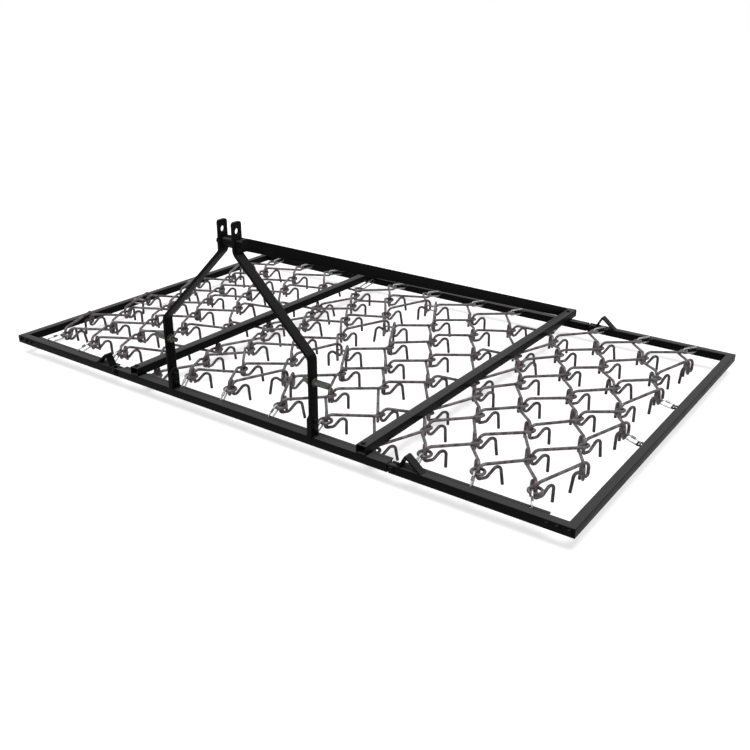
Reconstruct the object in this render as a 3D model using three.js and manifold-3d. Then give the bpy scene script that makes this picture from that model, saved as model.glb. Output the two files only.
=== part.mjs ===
// Chain harrow: a three-section folding drag frame with a three-point mast,
// carrying a mat of interlinked tine links. Millimetres, +Z up, +Y to the rear.
// The origin is on the underside of the front rail, halfway along it.
import * as THREE from 'three';
import { mergeVertices } from 'three/addons/utils/BufferGeometryUtils.js';
import Module from 'manifold-3d';

const wasm = await Module();
wasm.setup();

// Shared sizes
const clearance = 0.3;
const bite = 0.5;
const overrun = 5;

// Drag frame: 8 ft wide, 5 ft deep, of 1 in square tube
const frameWidth = 2438.4;
const frameDepth = 1524;
const centreShare = 0.5;
const centreWidth = frameWidth * centreShare;
const railSize = 25.4;
const railWall = 2.6;
const railBore = railSize - 2 * railWall;
const rearRailY = frameDepth - railSize;

// Crossbars on top of the centre section
const crossbarWidth = 38;
const crossbarHeight = 32;
const crossbarWall = 3;
const crossbarCorner = 6;
const crossbarShift = 14;
const crossbarOverhang = 34;

// Wing hinges
const hingeGap = 6;
const pivotInset = 12.7;
const tongueSlack = 2.2;
const tongueHeight = railBore - tongueSlack;
const tongueLength = 78;
const hingeBoltRadius = 5;
const hingeHoleSlack = 0.6;
const hingeHeadRadius = 9.5;
const hingeHeadLength = 6.5;
const hingeSlotLength = 29;
const wingStartX = centreWidth / 2 + hingeGap;
const pivotX = wingStartX + pivotInset;
const pivotZ = railSize / 2;

// Fold stop straps on the wing rails
const strapWidth = 25;
const strapThickness = 6;
const strapInnerFoot = 19;
const strapRise = 49;
const strapApex = 59;
const strapOuterFoot = 112;

// Mast
const mastBarWidth = 38;
const mastBarThickness = 10;
const mastFootX = 320;
const mastShoulderZ = 295;
const mastNeckZ = 578;
const mastTopZ = 677;
const mastTopX = 30;
const mastBendRadius = 26;
const mastY = -1;
const topHoleZ = 647;
const topHoleRadius = 10;
const bracketWidth = 38;
const bracketHeight = 78;
const bracketThickness = 8;
const bracketCorner = 14;
const topBoltZ = 607;
const topBoltRadius = 6;
const topBoltHeadRadius = 10.5;
const topBoltHeadLength = 8;
const spacerRadius = 13;
const spacerBore = 7;
const hitchPinZ = 215;
const hitchPinRadius = 11;
const hitchPinReach = 61;
const hitchPinChamfer = 2.5;
const hitchShankRadius = 8;
const hitchNutRadius = 14;
const hitchNutLength = 13;
const hitchTailLength = 6;

// Braces from the mast top to the rear ends of the crossbars
const braceHeight = 34;
const braceThickness = 8;
const braceTabRear = 32;
const braceTabFront = 16;
const braceFootLength = 62;

// Hanger strips and staples
const hangerReach = 12;
const hangerThickness = 5;
const hangerWeb = 5;
const hangerNotchWidth = 9;
const hangerTopDrop = 0.4;
const hangerInset = 14;
const hangerOuterInset = 92;
const stapleWidth = 28;
const stapleLeg = 5;

// Mat
const rodDiameter = 9.5;
const rodHalf = rodDiameter * Math.sqrt(Math.PI) / 4;
const eyeLevel = 46;
const sagLevel = 34;
const underBarLevel = -2;
const rowCount = 8;
const columnCount = 6;
const firstColumn = 116;
const centreColumn = 20;
const edgeInset = 67.2;
const edgeShift = 20;
const rearLinkSpan = 82.2;
const sagShare = 0.75;
const eyeHalfWidth = 13.2;
const eyeTipHalfWidth = 9;
const eyeLength = 29.4;
const eyeLift = 4.6;
const hookRise = 25;
const underBarRise = 14;
const firstShift = 2;
const secondShift = 1.5;
const hookDrop = 14;
const hookBottom = 23;
const hookBottomBack = 13;
const crestHeight = 6;
const crestBack = 42;
const toothReach = 66;
const toothDrop = 50;
const secondDepth = 24.7;
const edgeHookLift = 1.5;
const ringRadius = 20;
const ringSides = 8;
const quickLinkDiameter = 6;
const quickLinkHalf = quickLinkDiameter * Math.sqrt(Math.PI) / 4;
const quickLinkHalfWidth = 9.2;
const quickLinkFlat = 6.6;
const slopingHalfWidth = 10.6;
const quickLinkShoulder = 4.2;
const sideLinkRows = [3, 5];
const quickLinkShift = 5;
const quickLinkSlack = 2.8;
const sideStapleReach = 17;
const lowStapleZ = 12;

// Places worked out from the sizes above
const hangerBarY = railSize / 2 + hangerReach;
const quickLinkY = hangerBarY;
const hangerTop = railSize - hangerTopDrop;
const ringRowY = quickLinkY + 2 * ringRadius;
const wingEndX = frameWidth / 2;
const edgeColumn = wingEndX - edgeInset;
const columnPitch = (edgeColumn + edgeShift - firstColumn) / (columnCount - 1 / 2);
const barColumn = firstColumn + 2 * columnPitch;
const crossbarX = barColumn + crossbarShift;
const rearBarY = rearRailY - railSize / 2 - hangerReach + stapleLeg;
const rowPitch = (rearBarY - rearLinkSpan - ringRowY) / rowCount;
const legLength = Math.hypot(columnPitch / 2, rowPitch);
const turnedHalf = rodHalf * (rowPitch + columnPitch / 2) / legLength;
const seatDepth = rodHalf + turnedHalf + clearance;
const fusedDepth = rodHalf + turnedHalf - bite;

const colours = {
  black: { color: '#151617', roughness: 0.45, metalness: 0.25 },
  rod: { color: '#4d474b', roughness: 0.5, metalness: 0.7 },
  zinc: { color: '#d9dbd8', roughness: 0.35, metalness: 0.8 },
  pin: { color: '#8a8f86', roughness: 0.4, metalness: 0.8 },
};

const group = new THREE.Group();

function vector(x, y, z) {
  return new THREE.Vector3(x, y, z);
}

// A closed geometry as a solid that can be joined and cut
function solidOf(geometry) {
  const bare = geometry.clone();
  bare.deleteAttribute('normal');
  bare.deleteAttribute('uv');
  const merged = mergeVertices(bare, clearance / 100);
  return new wasm.Manifold(new wasm.Mesh({
    numProp: 3,
    vertProperties: new Float32Array(merged.attributes.position.array),
    triVerts: new Uint32Array(merged.index.array),
  }));
}

function geometryOf(solid) {
  const mesh = solid.getMesh();
  const geometry = new THREE.BufferGeometry();
  geometry.setAttribute('position', new THREE.BufferAttribute(mesh.vertProperties, 3));
  geometry.setIndex(new THREE.BufferAttribute(mesh.triVerts, 1));
  geometry.computeVertexNormals();
  return geometry;
}

function joined(solids) {
  return solids.reduce((whole, piece) => whole.add(piece));
}

function place(name, solid, look) {
  const mesh = new THREE.Mesh(geometryOf(solid), new THREE.MeshStandardMaterial(colours[look]));
  mesh.name = name;
  group.add(mesh);
}

function box(x0, x1, y0, y1, z0, z1) {
  const geometry = new THREE.BoxGeometry(x1 - x0, y1 - y0, z1 - z0);
  geometry.translate((x0 + x1) / 2, (y0 + y1) / 2, (z0 + z1) / 2);
  return solidOf(geometry);
}

// A round bar or bore along X or Y, from one end to the other
function roundAlong(axis, from, to, centre, radius, sides) {
  const geometry = new THREE.CylinderGeometry(radius, radius, to - from, sides);
  geometry.translate(0, (from + to) / 2, 0);
  if (axis === 'x') geometry.rotateZ(-Math.PI / 2);
  geometry.translate(centre.x, centre.y, centre.z);
  return solidOf(geometry);
}

// An outline drawn in (y, z) and thickened along X, or drawn in (x, z) and thickened along Y
function plate(axis, outline, from, to) {
  const shape = new THREE.Shape(outline.map(([across, up]) => new THREE.Vector2(across, up)));
  const geometry = new THREE.ExtrudeGeometry(shape, { depth: to - from, bevelEnabled: false });
  const frame = axis === 'x'
    ? new THREE.Matrix4().makeBasis(vector(0, 1, 0), vector(0, 0, 1), vector(1, 0, 0))
    : new THREE.Matrix4().makeBasis(vector(-1, 0, 0), vector(0, 0, 1), vector(0, 1, 0));
  geometry.applyMatrix4(frame);
  geometry.translate(axis === 'x' ? from : 0, axis === 'x' ? 0 : from, 0);
  return solidOf(geometry);
}

// A bar of rectangular section along a bent path, mitred at each bend. The section keeps its
// side vector level through the bends, and a closed path makes a ring.
function bar(points, side, halfSide, halfUp, closed = false) {
  const count = points.length;
  const along = points.map((point, i) => points[(i + 1) % count].clone().sub(point).normalize());
  const rings = [];
  let across = side.clone();
  for (let i = 0; i < count; i += 1) {
    const before = closed || i > 0 ? along[(i + count - 1) % count] : along[0];
    const after = closed || i < count - 1 ? along[i] : along[count - 2];
    const up = before.clone().cross(across);
    const mitre = before.clone().add(after);
    for (const [signSide, signUp] of [[1, 1], [-1, 1], [-1, -1], [1, -1]]) {
      const corner = across.clone().multiplyScalar(signSide * halfSide);
      corner.addScaledVector(up, signUp * halfUp);
      corner.addScaledVector(before, -corner.dot(mitre) / before.dot(mitre));
      rings.push(corner.add(points[i]));
    }
    const turn = across.dot(after) / (1 + before.dot(after));
    across = across.addScaledVector(before, -turn).addScaledVector(after, -turn).normalize();
  }
  const triangles = [];
  const last = closed ? count : count - 1;
  for (let i = 0; i < last; i += 1) {
    for (let k = 0; k < 4; k += 1) {
      const a = i * 4 + k;
      const b = i * 4 + (k + 1) % 4;
      const c = ((i + 1) % count) * 4 + (k + 1) % 4;
      const d = ((i + 1) % count) * 4 + k;
      triangles.push(a, b, c, a, c, d);
    }
  }
  if (!closed) {
    const end = (count - 1) * 4;
    triangles.push(0, 2, 1, 0, 3, 2, end, end + 1, end + 2, end, end + 2, end + 3);
  }
  return new wasm.Manifold(new wasm.Mesh({
    numProp: 3,
    vertProperties: new Float32Array(rings.flatMap((corner) => corner.toArray())),
    triVerts: new Uint32Array(triangles),
  }));
}

// Replaces each inner corner of a path by an arc of the given radius
function roundedPath(points, radius, steps) {
  const path = [points[0]];
  for (let i = 1; i < points.length - 1; i += 1) {
    const into = points[i].clone().sub(points[i - 1]).normalize();
    const out = points[i + 1].clone().sub(points[i]).normalize();
    const half = into.angleTo(out) / 2;
    const setback = radius * Math.tan(half);
    const bisector = out.clone().sub(into).normalize();
    const centre = points[i].clone().addScaledVector(bisector, radius / Math.cos(half));
    const start = points[i].clone().addScaledVector(into, -setback).sub(centre);
    const axis = into.clone().cross(out).normalize();
    for (let k = 0; k <= steps; k += 1) {
      path.push(start.clone().applyAxisAngle(axis, 2 * half * k / steps).add(centre));
    }
  }
  path.push(points[points.length - 1]);
  return path;
}

// Square tube between two X values. Each end may slant in plan, for a mitred corner.
function railAlongX(x0, x1, y, slant) {
  const shell = (half, extra) => {
    const xs = [x0 - extra, x1 + extra];
    const corners = [];
    xs.forEach((x, end) => {
      for (const [dy, dz] of [[-1, -1], [1, -1], [1, 1], [-1, 1]]) {
        corners.push(vector(x + slant[end] * dy * half, y + dy * half, pivotZ + dz * half));
      }
    });
    return prism(corners);
  };
  return shell(railSize / 2, 0).subtract(shell(railBore / 2, overrun));
}

// Square tube between two Y values, with slanting ends in plan
function railAlongY(y0, y1, x, slant) {
  const shell = (half, extra) => {
    const ys = [y0 - extra, y1 + extra];
    const corners = [];
    ys.forEach((y, end) => {
      for (const [dx, dz] of [[1, -1], [-1, -1], [-1, 1], [1, 1]]) {
        corners.push(vector(x + dx * half, y + slant[end] * dx * half, pivotZ + dz * half));
      }
    });
    return prism(corners);
  };
  return shell(railSize / 2, 0).subtract(shell(railBore / 2, overrun));
}

// A solid between two four-cornered ends
function prism(corners) {
  const triangles = [0, 2, 1, 0, 3, 2, 4, 5, 6, 4, 6, 7];
  for (let k = 0; k < 4; k += 1) {
    const next = (k + 1) % 4;
    triangles.push(k, next, next + 4, k, next + 4, k + 4);
  }
  return new wasm.Manifold(new wasm.Mesh({
    numProp: 3,
    vertProperties: new Float32Array(corners.flatMap((corner) => corner.toArray())),
    triVerts: new Uint32Array(triangles),
  }));
}

// Welded staple: a U in plan whose bar stands off the face at the given depth. The outward
// vector points from the rail's face into the frame.
function staple(centre, outward, reach = hangerReach) {
  const across = vector(-outward.y, outward.x, 0);
  const half = (stapleWidth - stapleLeg) / 2;
  const back = bite;
  const point = (side, out) => centre.clone().addScaledVector(across, side).addScaledVector(outward, out);
  const barLine = reach - stapleLeg / 2;
  const path = [point(-half, -back), point(-half, barLine), point(half, barLine), point(half, -back)];
  return bar(path, vector(0, 0, 1), hangerThickness / 2, stapleLeg / 2);
}

// Oval wire link standing in the plane of two directions: along its length, and up
function quickLink(start, end, up, halfWidth = quickLinkHalfWidth) {
  const along = end.clone().sub(start).normalize();
  const normal = along.clone().cross(up).normalize();
  const across = normal.clone().cross(along).normalize();
  const point = (base, forward, sideways) => base.clone()
    .addScaledVector(along, forward)
    .addScaledVector(across, sideways);
  const w = halfWidth;
  const f = quickLinkFlat;
  const s = quickLinkShoulder;
  const path = [
    point(start, 0, w), point(start, 0, -w), point(end, -s, -w),
    point(end, 0, -f), point(end, 0, f), point(end, -s, w),
  ];
  return bar(path, normal, quickLinkHalf, quickLinkHalf, true);
}

// The mat hangs level but for the columns that pass beneath the crossbars
function levelAt(column) {
  if (column === barColumn) return underBarLevel;
  return Math.abs(column - barColumn) < columnPitch * sagShare ? sagLevel : eyeLevel;
}

// A node of the mat: the tip of an eye, or the rear of a ring
function nodeAt(row, column, side) {
  return { x: side * column, y: ringRowY + rowPitch * row, z: levelAt(column), column, side };
}

// Points of a hook in the upright plane of its leg, from its top corner round the C, over the
// crest and down to the tooth tip. The rod goes down through the eye at the hook's foot.
function hookPoints(foot, heading) {
  const point = (back, height) => vector(foot.x, foot.y, foot.z + height).addScaledVector(heading, -back);
  const extra = foot.extra;
  return [
    point(0, foot.rise),
    point(0, -foot.drop),
    point(hookBottomBack + extra, -foot.bottom),
    point(crestBack + extra, crestHeight),
    point(toothReach + extra, -toothDrop),
  ];
}

// Where a hook goes down through the eye at a node. The first hook seats against the tip rod and
// the second against the first. Each leans towards its own leg.
function hookFoot(node, depth, toward) {
  const shift = depth === secondDepth ? secondShift : firstShift;
  return {
    x: node.x + toward * shift,
    y: node.y - depth,
    z: node.z,
    extra: (depth - fusedDepth) * legLength / rowPitch,
    rise: node.column === barColumn ? underBarRise : hookRise,
    drop: hookDrop,
    bottom: hookBottom,
  };
}

function level(point) {
  return vector(point.x, point.y, 0);
}

function rodAlong(path) {
  const start = path[1].clone().sub(path[0]);
  const levelSide = vector(-start.y, start.x, 0).normalize();
  return bar(path, levelSide, rodHalf, rodHalf);
}

// A full tine link: two hooks with teeth in front, a closed crossing eye behind. The leg that
// comes from the inner side lies on top at the crossing.
function tineLink(node, inner, outer) {
  const { x, y, z, side } = node;
  const eye = [
    vector(x + side * eyeHalfWidth, y - eyeLength, z + eyeLift),
    vector(x + side * eyeTipHalfWidth, y, z),
    vector(x - side * eyeTipHalfWidth, y, z),
    vector(x - side * eyeHalfWidth, y - eyeLength, z - eyeLift),
  ];
  const innerHeading = level(inner).sub(level(eye[0])).normalize();
  const outerHeading = level(outer).sub(level(eye[3])).normalize();
  return rodAlong([...hookPoints(inner, innerHeading).reverse(), ...eye, ...hookPoints(outer, outerHeading)]);
}

// An edge link: one leg with a hook and tooth at each end. Its rear hook passes over the top of
// the next link's hook.
function edgeLink(node, front) {
  const frontHeading = level(front).sub(level(node)).normalize();
  const rearHeading = frontHeading.clone().multiplyScalar(-1);
  const rearFoot = {
    x: node.x + rearHeading.x * fusedDepth,
    y: node.y + rearHeading.y * fusedDepth,
    z: node.z,
    extra: 0,
    rise: hookRise + 2 * rodHalf + edgeHookLift,
    drop: 0,
    bottom: hookDrop,
  };
  return rodAlong([...hookPoints(front, frontHeading).reverse(), ...hookPoints(rearFoot, rearHeading)]);
}

function columnX(index) {
  return firstColumn + columnPitch * index;
}

function oddColumnX(index) {
  return index === 0 ? centreColumn : index === columnCount ? edgeColumn : columnX(index - 1) + columnPitch / 2;
}

// The links of one pair of columns: even rows stand on the pair's outer column, odd rows on its
// inner column, so that each link hooks into the one before it in a zigzag.
function columnPair(pair, side) {
  const links = [];
  for (let row = 1; row <= rowCount; row += 1) {
    const odd = row % 2 === 1;
    const own = row === 1 ? seatDepth : fusedDepth;
    const last = pair === columnCount - 1;
    const frontNode = (column) => nodeAt(row - 1, column, side);
    if (odd && pair === 0) {
      links.push(edgeLink(nodeAt(row, centreColumn, side), hookFoot(frontNode(columnX(0)), own, -side)));
    } else if (odd) {
      const inner = hookFoot(frontNode(columnX(pair - 1)), secondDepth, side);
      const outer = hookFoot(frontNode(columnX(pair)), own, -side);
      links.push(tineLink(nodeAt(row, oddColumnX(pair), side), inner, outer));
    } else {
      const inner = hookFoot(frontNode(oddColumnX(pair)), own, side);
      const outer = hookFoot(frontNode(oddColumnX(pair + 1)), last ? own : secondDepth, -side);
      links.push(tineLink(nodeAt(row, columnX(pair), side), inner, outer));
    }
    if (odd && last) {
      links.push(edgeLink(nodeAt(row, edgeColumn, side), hookFoot(frontNode(columnX(pair)), secondDepth, side)));
    }
  }
  return links;
}

const sideName = (side) => (side > 0 ? 'right' : 'left');
const mirroredOutline = (outline, side) => outline.map(([across, up]) => [-side * across, up]);

// Height of the bar that a quick link hangs on: lower beneath the crossbars
function hangBarZ(column) {
  return column === barColumn ? lowStapleZ : hangerTop - hangerThickness / 2;
}

// Front quick links: round the hanger bar or staple and round the ring's front rod
function frontQuickLink(column, side) {
  const x = side * (column - quickLinkShift);
  const up = column === barColumn ? -1 : 1;
  const seat = hangBarZ(column) - up * (hangerThickness / 2 + quickLinkHalf - bite);
  const far = levelAt(column) + up * (rodHalf + clearance + quickLinkHalf);
  return quickLink(vector(x, quickLinkY, seat), vector(x, quickLinkY, far), vector(0, 1, 0));
}

// Rear quick links: through the last eye and round the rear rail's staple
function rearQuickLink(column, side) {
  const eyeY = ringRowY + rowPitch * rowCount;
  const front = vector(side * column, eyeY - rodHalf - quickLinkSlack - quickLinkHalf, levelAt(column));
  const rear = vector(side * column, rearBarY + quickLinkHalf - bite, hangBarZ(column));
  return quickLink(rear, front, vector(0, 0, 1), slopingHalfWidth);
}

function frontStaple(column, side) {
  return staple(vector(side * (column - quickLinkShift), railSize / 2, hangBarZ(column)), vector(0, 1, 0));
}

function rearStaple(column, side) {
  return staple(vector(side * column, rearRailY - railSize / 2, hangBarZ(column)), vector(0, -1, 0));
}

const ringColumns = [...Array(columnCount).keys()].map(columnX);
const centreColumns = ringColumns.filter((x) => x < pivotX);
const bothSides = (make) => [-1, 1].flatMap((side) => centreColumns.map((x) => make(x, side)));
const wingColumns = ringColumns.filter((x) => x > pivotX);

// Centre section rails with their staples and quick links
const half = centreWidth / 2;
const frontRail = joined([
  railAlongX(-half, half, 0, [0, 0]),
  ...bothSides(frontStaple),
  ...bothSides(frontQuickLink),
]);
place('centre_front_rail', frontRail, 'black');
const rearRail = joined([
  railAlongX(-half, half, rearRailY, [0, 0]),
  ...bothSides(rearStaple),
  ...bothSides(rearQuickLink),
]);
place('centre_rear_rail', rearRail, 'black');

// An upright rectangle with cut corners, for the crossbar tube
function cutRectangle(width, height, corner, centreX, bottom) {
  const w = width / 2;
  const c = corner;
  const h = height;
  const outline = [
    [-w + c, 0], [w - c, 0], [w, c], [w, h - c], [w - c, h], [-w + c, h], [-w, h - c], [-w, c],
  ];
  return outline.map(([across, up]) => [across - centreX, up + bottom]);
}

const crossbarBottom = railSize + clearance;
const crossbarTop = crossbarBottom + crossbarHeight;
const crossbarFront = -railSize / 2;
const crossbarRear = rearRailY + railSize / 2 + crossbarOverhang;
for (const side of [-1, 1]) {
  const corner = crossbarCorner * (2 - Math.SQRT2);
  const outer = plate('y', cutRectangle(crossbarWidth, crossbarHeight, corner, side * crossbarX, crossbarBottom),
    crossbarFront, crossbarRear);
  const inside = cutRectangle(crossbarWidth - 2 * crossbarWall, crossbarHeight - 2 * crossbarWall,
    corner - crossbarWall * (2 - Math.SQRT2), side * crossbarX, crossbarBottom + crossbarWall);
  const inner = plate('y', inside, crossbarFront - overrun, crossbarRear + overrun);
  place(`${sideName(side)}_crossbar`, outer.subtract(inner), 'black');
}

// Mast: two bent bars, their brackets, the hitch pins with nuts, and the top bolt with its spacer
const mastFootZ = railSize + clearance;
for (const side of [-1, 1]) {
  const name = sideName(side);
  const straightTop = mastTopZ - mastBarWidth / 2;
  const spine = [
    vector(side * mastFootX, mastY, mastFootZ),
    vector(side * mastFootX, mastY, mastShoulderZ),
    vector(side * mastTopX, mastY, mastNeckZ),
    vector(side * mastTopX, mastY, straightTop),
  ];
  const inner = mastTopX - mastBarThickness / 2;
  const outer = mastTopX + mastBarThickness / 2;
  const [capFrom, capTo] = side > 0 ? [inner, outer] : [-outer, -inner];
  const cap = roundAlong('x', capFrom, capTo, vector(0, mastY, straightTop), mastBarWidth / 2, 12);
  const strip = bar(roundedPath(spine, mastBendRadius, 3), vector(0, 1, 0), mastBarWidth / 2, mastBarThickness / 2);
  const holes = joined([
    roundAlong('x', capFrom - overrun, capTo + overrun, vector(0, mastY, topHoleZ), topHoleRadius, 8),
    roundAlong('x', capFrom - overrun, capTo + overrun, vector(0, mastY, topBoltZ), topBoltRadius + 2 * clearance, 8),
    roundAlong('x', side * mastFootX - mastBarThickness, side * mastFootX + mastBarThickness,
      vector(0, mastY, hitchPinZ), hitchShankRadius + 2 * clearance, 8),
  ]);
  place(`${name}_mast_bar`, strip.add(cap).subtract(holes), 'black');

  const bracketOutline = [
    [-bracketWidth / 2, 0], [bracketWidth / 2, 0],
    [bracketWidth / 2, bracketHeight - bracketCorner], [bracketWidth / 2 - bracketCorner, bracketHeight],
    [-bracketWidth / 2 + bracketCorner, bracketHeight], [-bracketWidth / 2, bracketHeight - bracketCorner],
  ].map(([across, up]) => [across + mastY, up + mastFootZ]);
  const bracketOuter = mastFootX - mastBarThickness / 2 - clearance;
  const bracketInner = bracketOuter - bracketThickness;
  const [bracketFrom, bracketTo] = side > 0 ? [bracketInner, bracketOuter] : [-bracketOuter, -bracketInner];
  place(`${name}_mast_bracket`, plate('x', bracketOutline, bracketFrom, bracketTo), 'black');

  const faceOut = mastFootX + mastBarThickness / 2 + clearance;
  const faceIn = mastFootX - mastBarThickness / 2 - clearance;
  const nutEnd = faceIn - hitchNutLength;
  const tail = nutEnd - hitchTailLength;
  const pinEnd = faceOut + hitchPinReach;
  const profile = [
    [0, tail], [hitchShankRadius, tail], [hitchShankRadius, faceOut], [hitchPinRadius, faceOut],
    [hitchPinRadius, pinEnd - hitchPinChamfer], [hitchPinRadius - hitchPinChamfer, pinEnd], [0, pinEnd],
  ].map(([radius, x]) => new THREE.Vector2(radius, x));
  const pin = new THREE.LatheGeometry(profile, 12);
  pin.rotateZ(-side * Math.PI / 2);
  pin.translate(0, mastY, hitchPinZ);
  place(`${name}_hitch_pin`, solidOf(pin), 'pin');
  const [nutFrom, nutTo] = side > 0 ? [nutEnd, faceIn] : [-faceIn, -nutEnd];
  const nutCentre = vector(0, mastY, hitchPinZ);
  const nut = roundAlong('x', nutFrom, nutTo, nutCentre, hitchNutRadius, 6)
    .subtract(roundAlong('x', nutFrom - overrun, nutTo + overrun, nutCentre, hitchShankRadius + 2 * clearance, 8));
  place(`${name}_hitch_nut`, nut, 'pin');
}

const mastInner = mastTopX - mastBarThickness / 2 - clearance;
const mastOuter = mastTopX + mastBarThickness / 2 + clearance;
const topCentre = vector(0, mastY, topBoltZ);
const spacer = roundAlong('x', -mastInner, mastInner, topCentre, spacerRadius, 12)
  .subtract(roundAlong('x', -mastInner - overrun, mastInner + overrun, topCentre, spacerBore, 8));
place('mast_spacer', spacer, 'black');

const headStart = mastOuter + braceThickness + clearance;
const headEnd = headStart + topBoltHeadLength;
const topBolt = joined([
  roundAlong('x', -headStart - bite, headStart + bite, topCentre, topBoltRadius, 8),
  roundAlong('x', headStart, headEnd, topCentre, topBoltHeadRadius, 6),
  roundAlong('x', -headEnd, -headStart, topCentre, topBoltHeadRadius, 6),
]);
place('mast_top_bolt', topBolt, 'zinc');

for (const side of [-1, 1]) {
  const tabX = side * (mastOuter + braceThickness / 2);
  const footZ = crossbarTop + clearance + braceHeight / 2;
  const footEnd = crossbarRear - crossbarWidth / 2;
  const spine = [
    vector(tabX, mastY - braceTabFront, topBoltZ),
    vector(tabX, mastY + braceTabRear, topBoltZ),
    vector(side * crossbarX, footEnd - braceFootLength, footZ),
    vector(side * crossbarX, footEnd, footZ),
  ];
  const strip = bar(spine, vector(side, 0, 0), braceThickness / 2, braceHeight / 2);
  const hole = roundAlong('x', tabX - braceThickness, tabX + braceThickness, topCentre, topBoltRadius + 2 * clearance, 8);
  place(`${sideName(side)}_brace`, strip.subtract(hole), 'black');
}

// Wings: a front, a rear and an outer rail each, mitred at the outer corners
const wingRailEnd = wingEndX - railSize / 2;
for (const side of [-1, 1]) {
  const name = sideName(side);
  const mitreGap = clearance / Math.SQRT2;
  const ends = (y, slant) => {
    const outer = side * (wingRailEnd - mitreGap);
    const inner = side * wingStartX;
    return side > 0 ? railAlongX(inner, outer, y, [0, slant]) : railAlongX(outer, inner, y, [-slant, 0]);
  };
  // The hinge end loses its top wall, so that the tongue can swing out as the wing folds up
  const opened = (rail, y) => {
    const from = side > 0 ? wingStartX - overrun : -wingStartX - hingeSlotLength;
    const to = side > 0 ? wingStartX + hingeSlotLength : -wingStartX + overrun;
    const slot = box(from, to, y - railBore / 2, y + railBore / 2, pivotZ, railSize + overrun);
    const hole = roundAlong('y', y - railSize, y + railSize, vector(side * pivotX, 0, pivotZ),
      hingeBoltRadius + hingeHoleSlack, 12);
    return rail.subtract(slot).subtract(hole);
  };
  place(`${name}_wing_front_rail`, opened(ends(0, -1), 0), 'black');
  const rear = opened(ends(rearRailY, 1), rearRailY);
  const onWing = (make) => wingColumns.map((x) => make(x, side));
  place(`${name}_wing_rear_rail`, joined([rear, ...onWing(rearStaple), ...onWing(rearQuickLink)]), 'black');
  const sideX = side * wingRailEnd;
  const outerRail = railAlongY(mitreGap, rearRailY - mitreGap, sideX, [-side, side]);
  const staples = sideLinkRows.map((row) => {
    const y = ringRowY + rowPitch * row;
    const centre = vector(side * (wingEndX - railSize), y, hangerTop - hangerThickness / 2);
    return staple(centre, vector(-side, 0, 0), sideStapleReach);
  });
  place(`${name}_wing_side_rail`, joined([outerRail, ...staples]), 'black');

  // Hanger strip behind the wing's front rail, notched for each quick link
  const stripFrom = pivotX + hangerInset;
  const stripTo = wingEndX - hangerOuterInset;
  const faceY = railSize / 2 + clearance;
  const low = hangerTop - hangerThickness;
  const span = (from, to) => (side > 0 ? [from, to] : [-to, -from]);
  let strip = box(...span(stripFrom, stripTo), faceY, hangerBarY, low, hangerTop);
  for (const x of wingColumns) {
    const middle = x - quickLinkShift;
    const notch = box(...span(middle - hangerNotchWidth / 2, middle + hangerNotchWidth / 2), faceY - overrun,
      hangerBarY - hangerWeb, low - overrun, hangerTop + overrun);
    strip = strip.subtract(notch);
  }
  place(`${name}_hanger_strip`, joined([strip, ...onWing(frontQuickLink)]), 'black');

  for (const [end, y] of [['front', 0], ['rear', rearRailY]]) {
    // Fold stop strap, an inverted V of flat bar
    const base = railSize + clearance;
    const t = strapThickness;
    const steep = Math.hypot(strapApex - strapInnerFoot, strapRise) / strapRise;
    const gentle = Math.hypot(strapOuterFoot - strapApex, strapRise) / strapRise;
    const top = base + strapRise;
    const outline = [
      [strapInnerFoot, base], [strapInnerFoot + t * steep, base], [strapApex, top - t * steep],
      [strapOuterFoot - t * gentle, base], [strapOuterFoot, base], [strapApex + t / 2, top], [strapApex - t / 2, top],
    ].map(([across, up]) => [across + pivotX, up]);
    const strap = plate('y', mirroredOutline(outline, side), y - strapWidth / 2, y + strapWidth / 2);
    place(`${name}_${end}_stop_strap`, strap, 'black');

    // Hinge tongue in the centre rail's bore, round about the bolt
    const tongueHalf = railBore / 2 - clearance;
    const body = box(...span(pivotX - tongueLength, pivotX), y - tongueHalf, y + tongueHalf,
      pivotZ - tongueHeight / 2, pivotZ + tongueHeight / 2);
    const nose = roundAlong('y', y - tongueHalf, y + tongueHalf, vector(side * pivotX, 0, pivotZ), tongueHeight / 2, 12);
    const bore = roundAlong('y', y - railSize, y + railSize, vector(side * pivotX, 0, pivotZ),
      hingeBoltRadius + 2 * clearance, 8);
    place(`${name}_${end}_hinge_tongue`, body.add(nose).subtract(bore), 'black');

    const faceOut = railSize / 2 + clearance;
    const boltCentre = vector(side * pivotX, 0, pivotZ);
    const bolt = joined([
      roundAlong('y', y - faceOut - bite, y + faceOut + bite, boltCentre, hingeBoltRadius, 8),
      roundAlong('y', y - faceOut - hingeHeadLength, y - faceOut, boltCentre, hingeHeadRadius, 6),
      roundAlong('y', y + faceOut, y + faceOut + hingeHeadLength, boltCentre, hingeHeadRadius, 6),
    ]);
    place(`${name}_${end}_hinge_bolt`, bolt, 'zinc');
  }
}

// Mat: rings on the front quick links, then the zigzag strips of tine links
for (const side of [-1, 1]) {
  ringColumns.forEach((x, i) => {
    const centre = vector(side * x, ringRowY - ringRadius, levelAt(x));
    const reach = ringRadius / Math.cos(Math.PI / ringSides);
    const points = [...Array(ringSides).keys()].map((k) => {
      const angle = 2 * Math.PI * (k + 1 / 2) / ringSides;
      return vector(centre.x + reach * Math.sin(angle), centre.y + reach * Math.cos(angle), centre.z);
    });
    place(`${sideName(side)}_ring_${i + 1}`, bar(points, vector(0, 0, 1), rodHalf, rodHalf, true), 'rod');
  });
}

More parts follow.
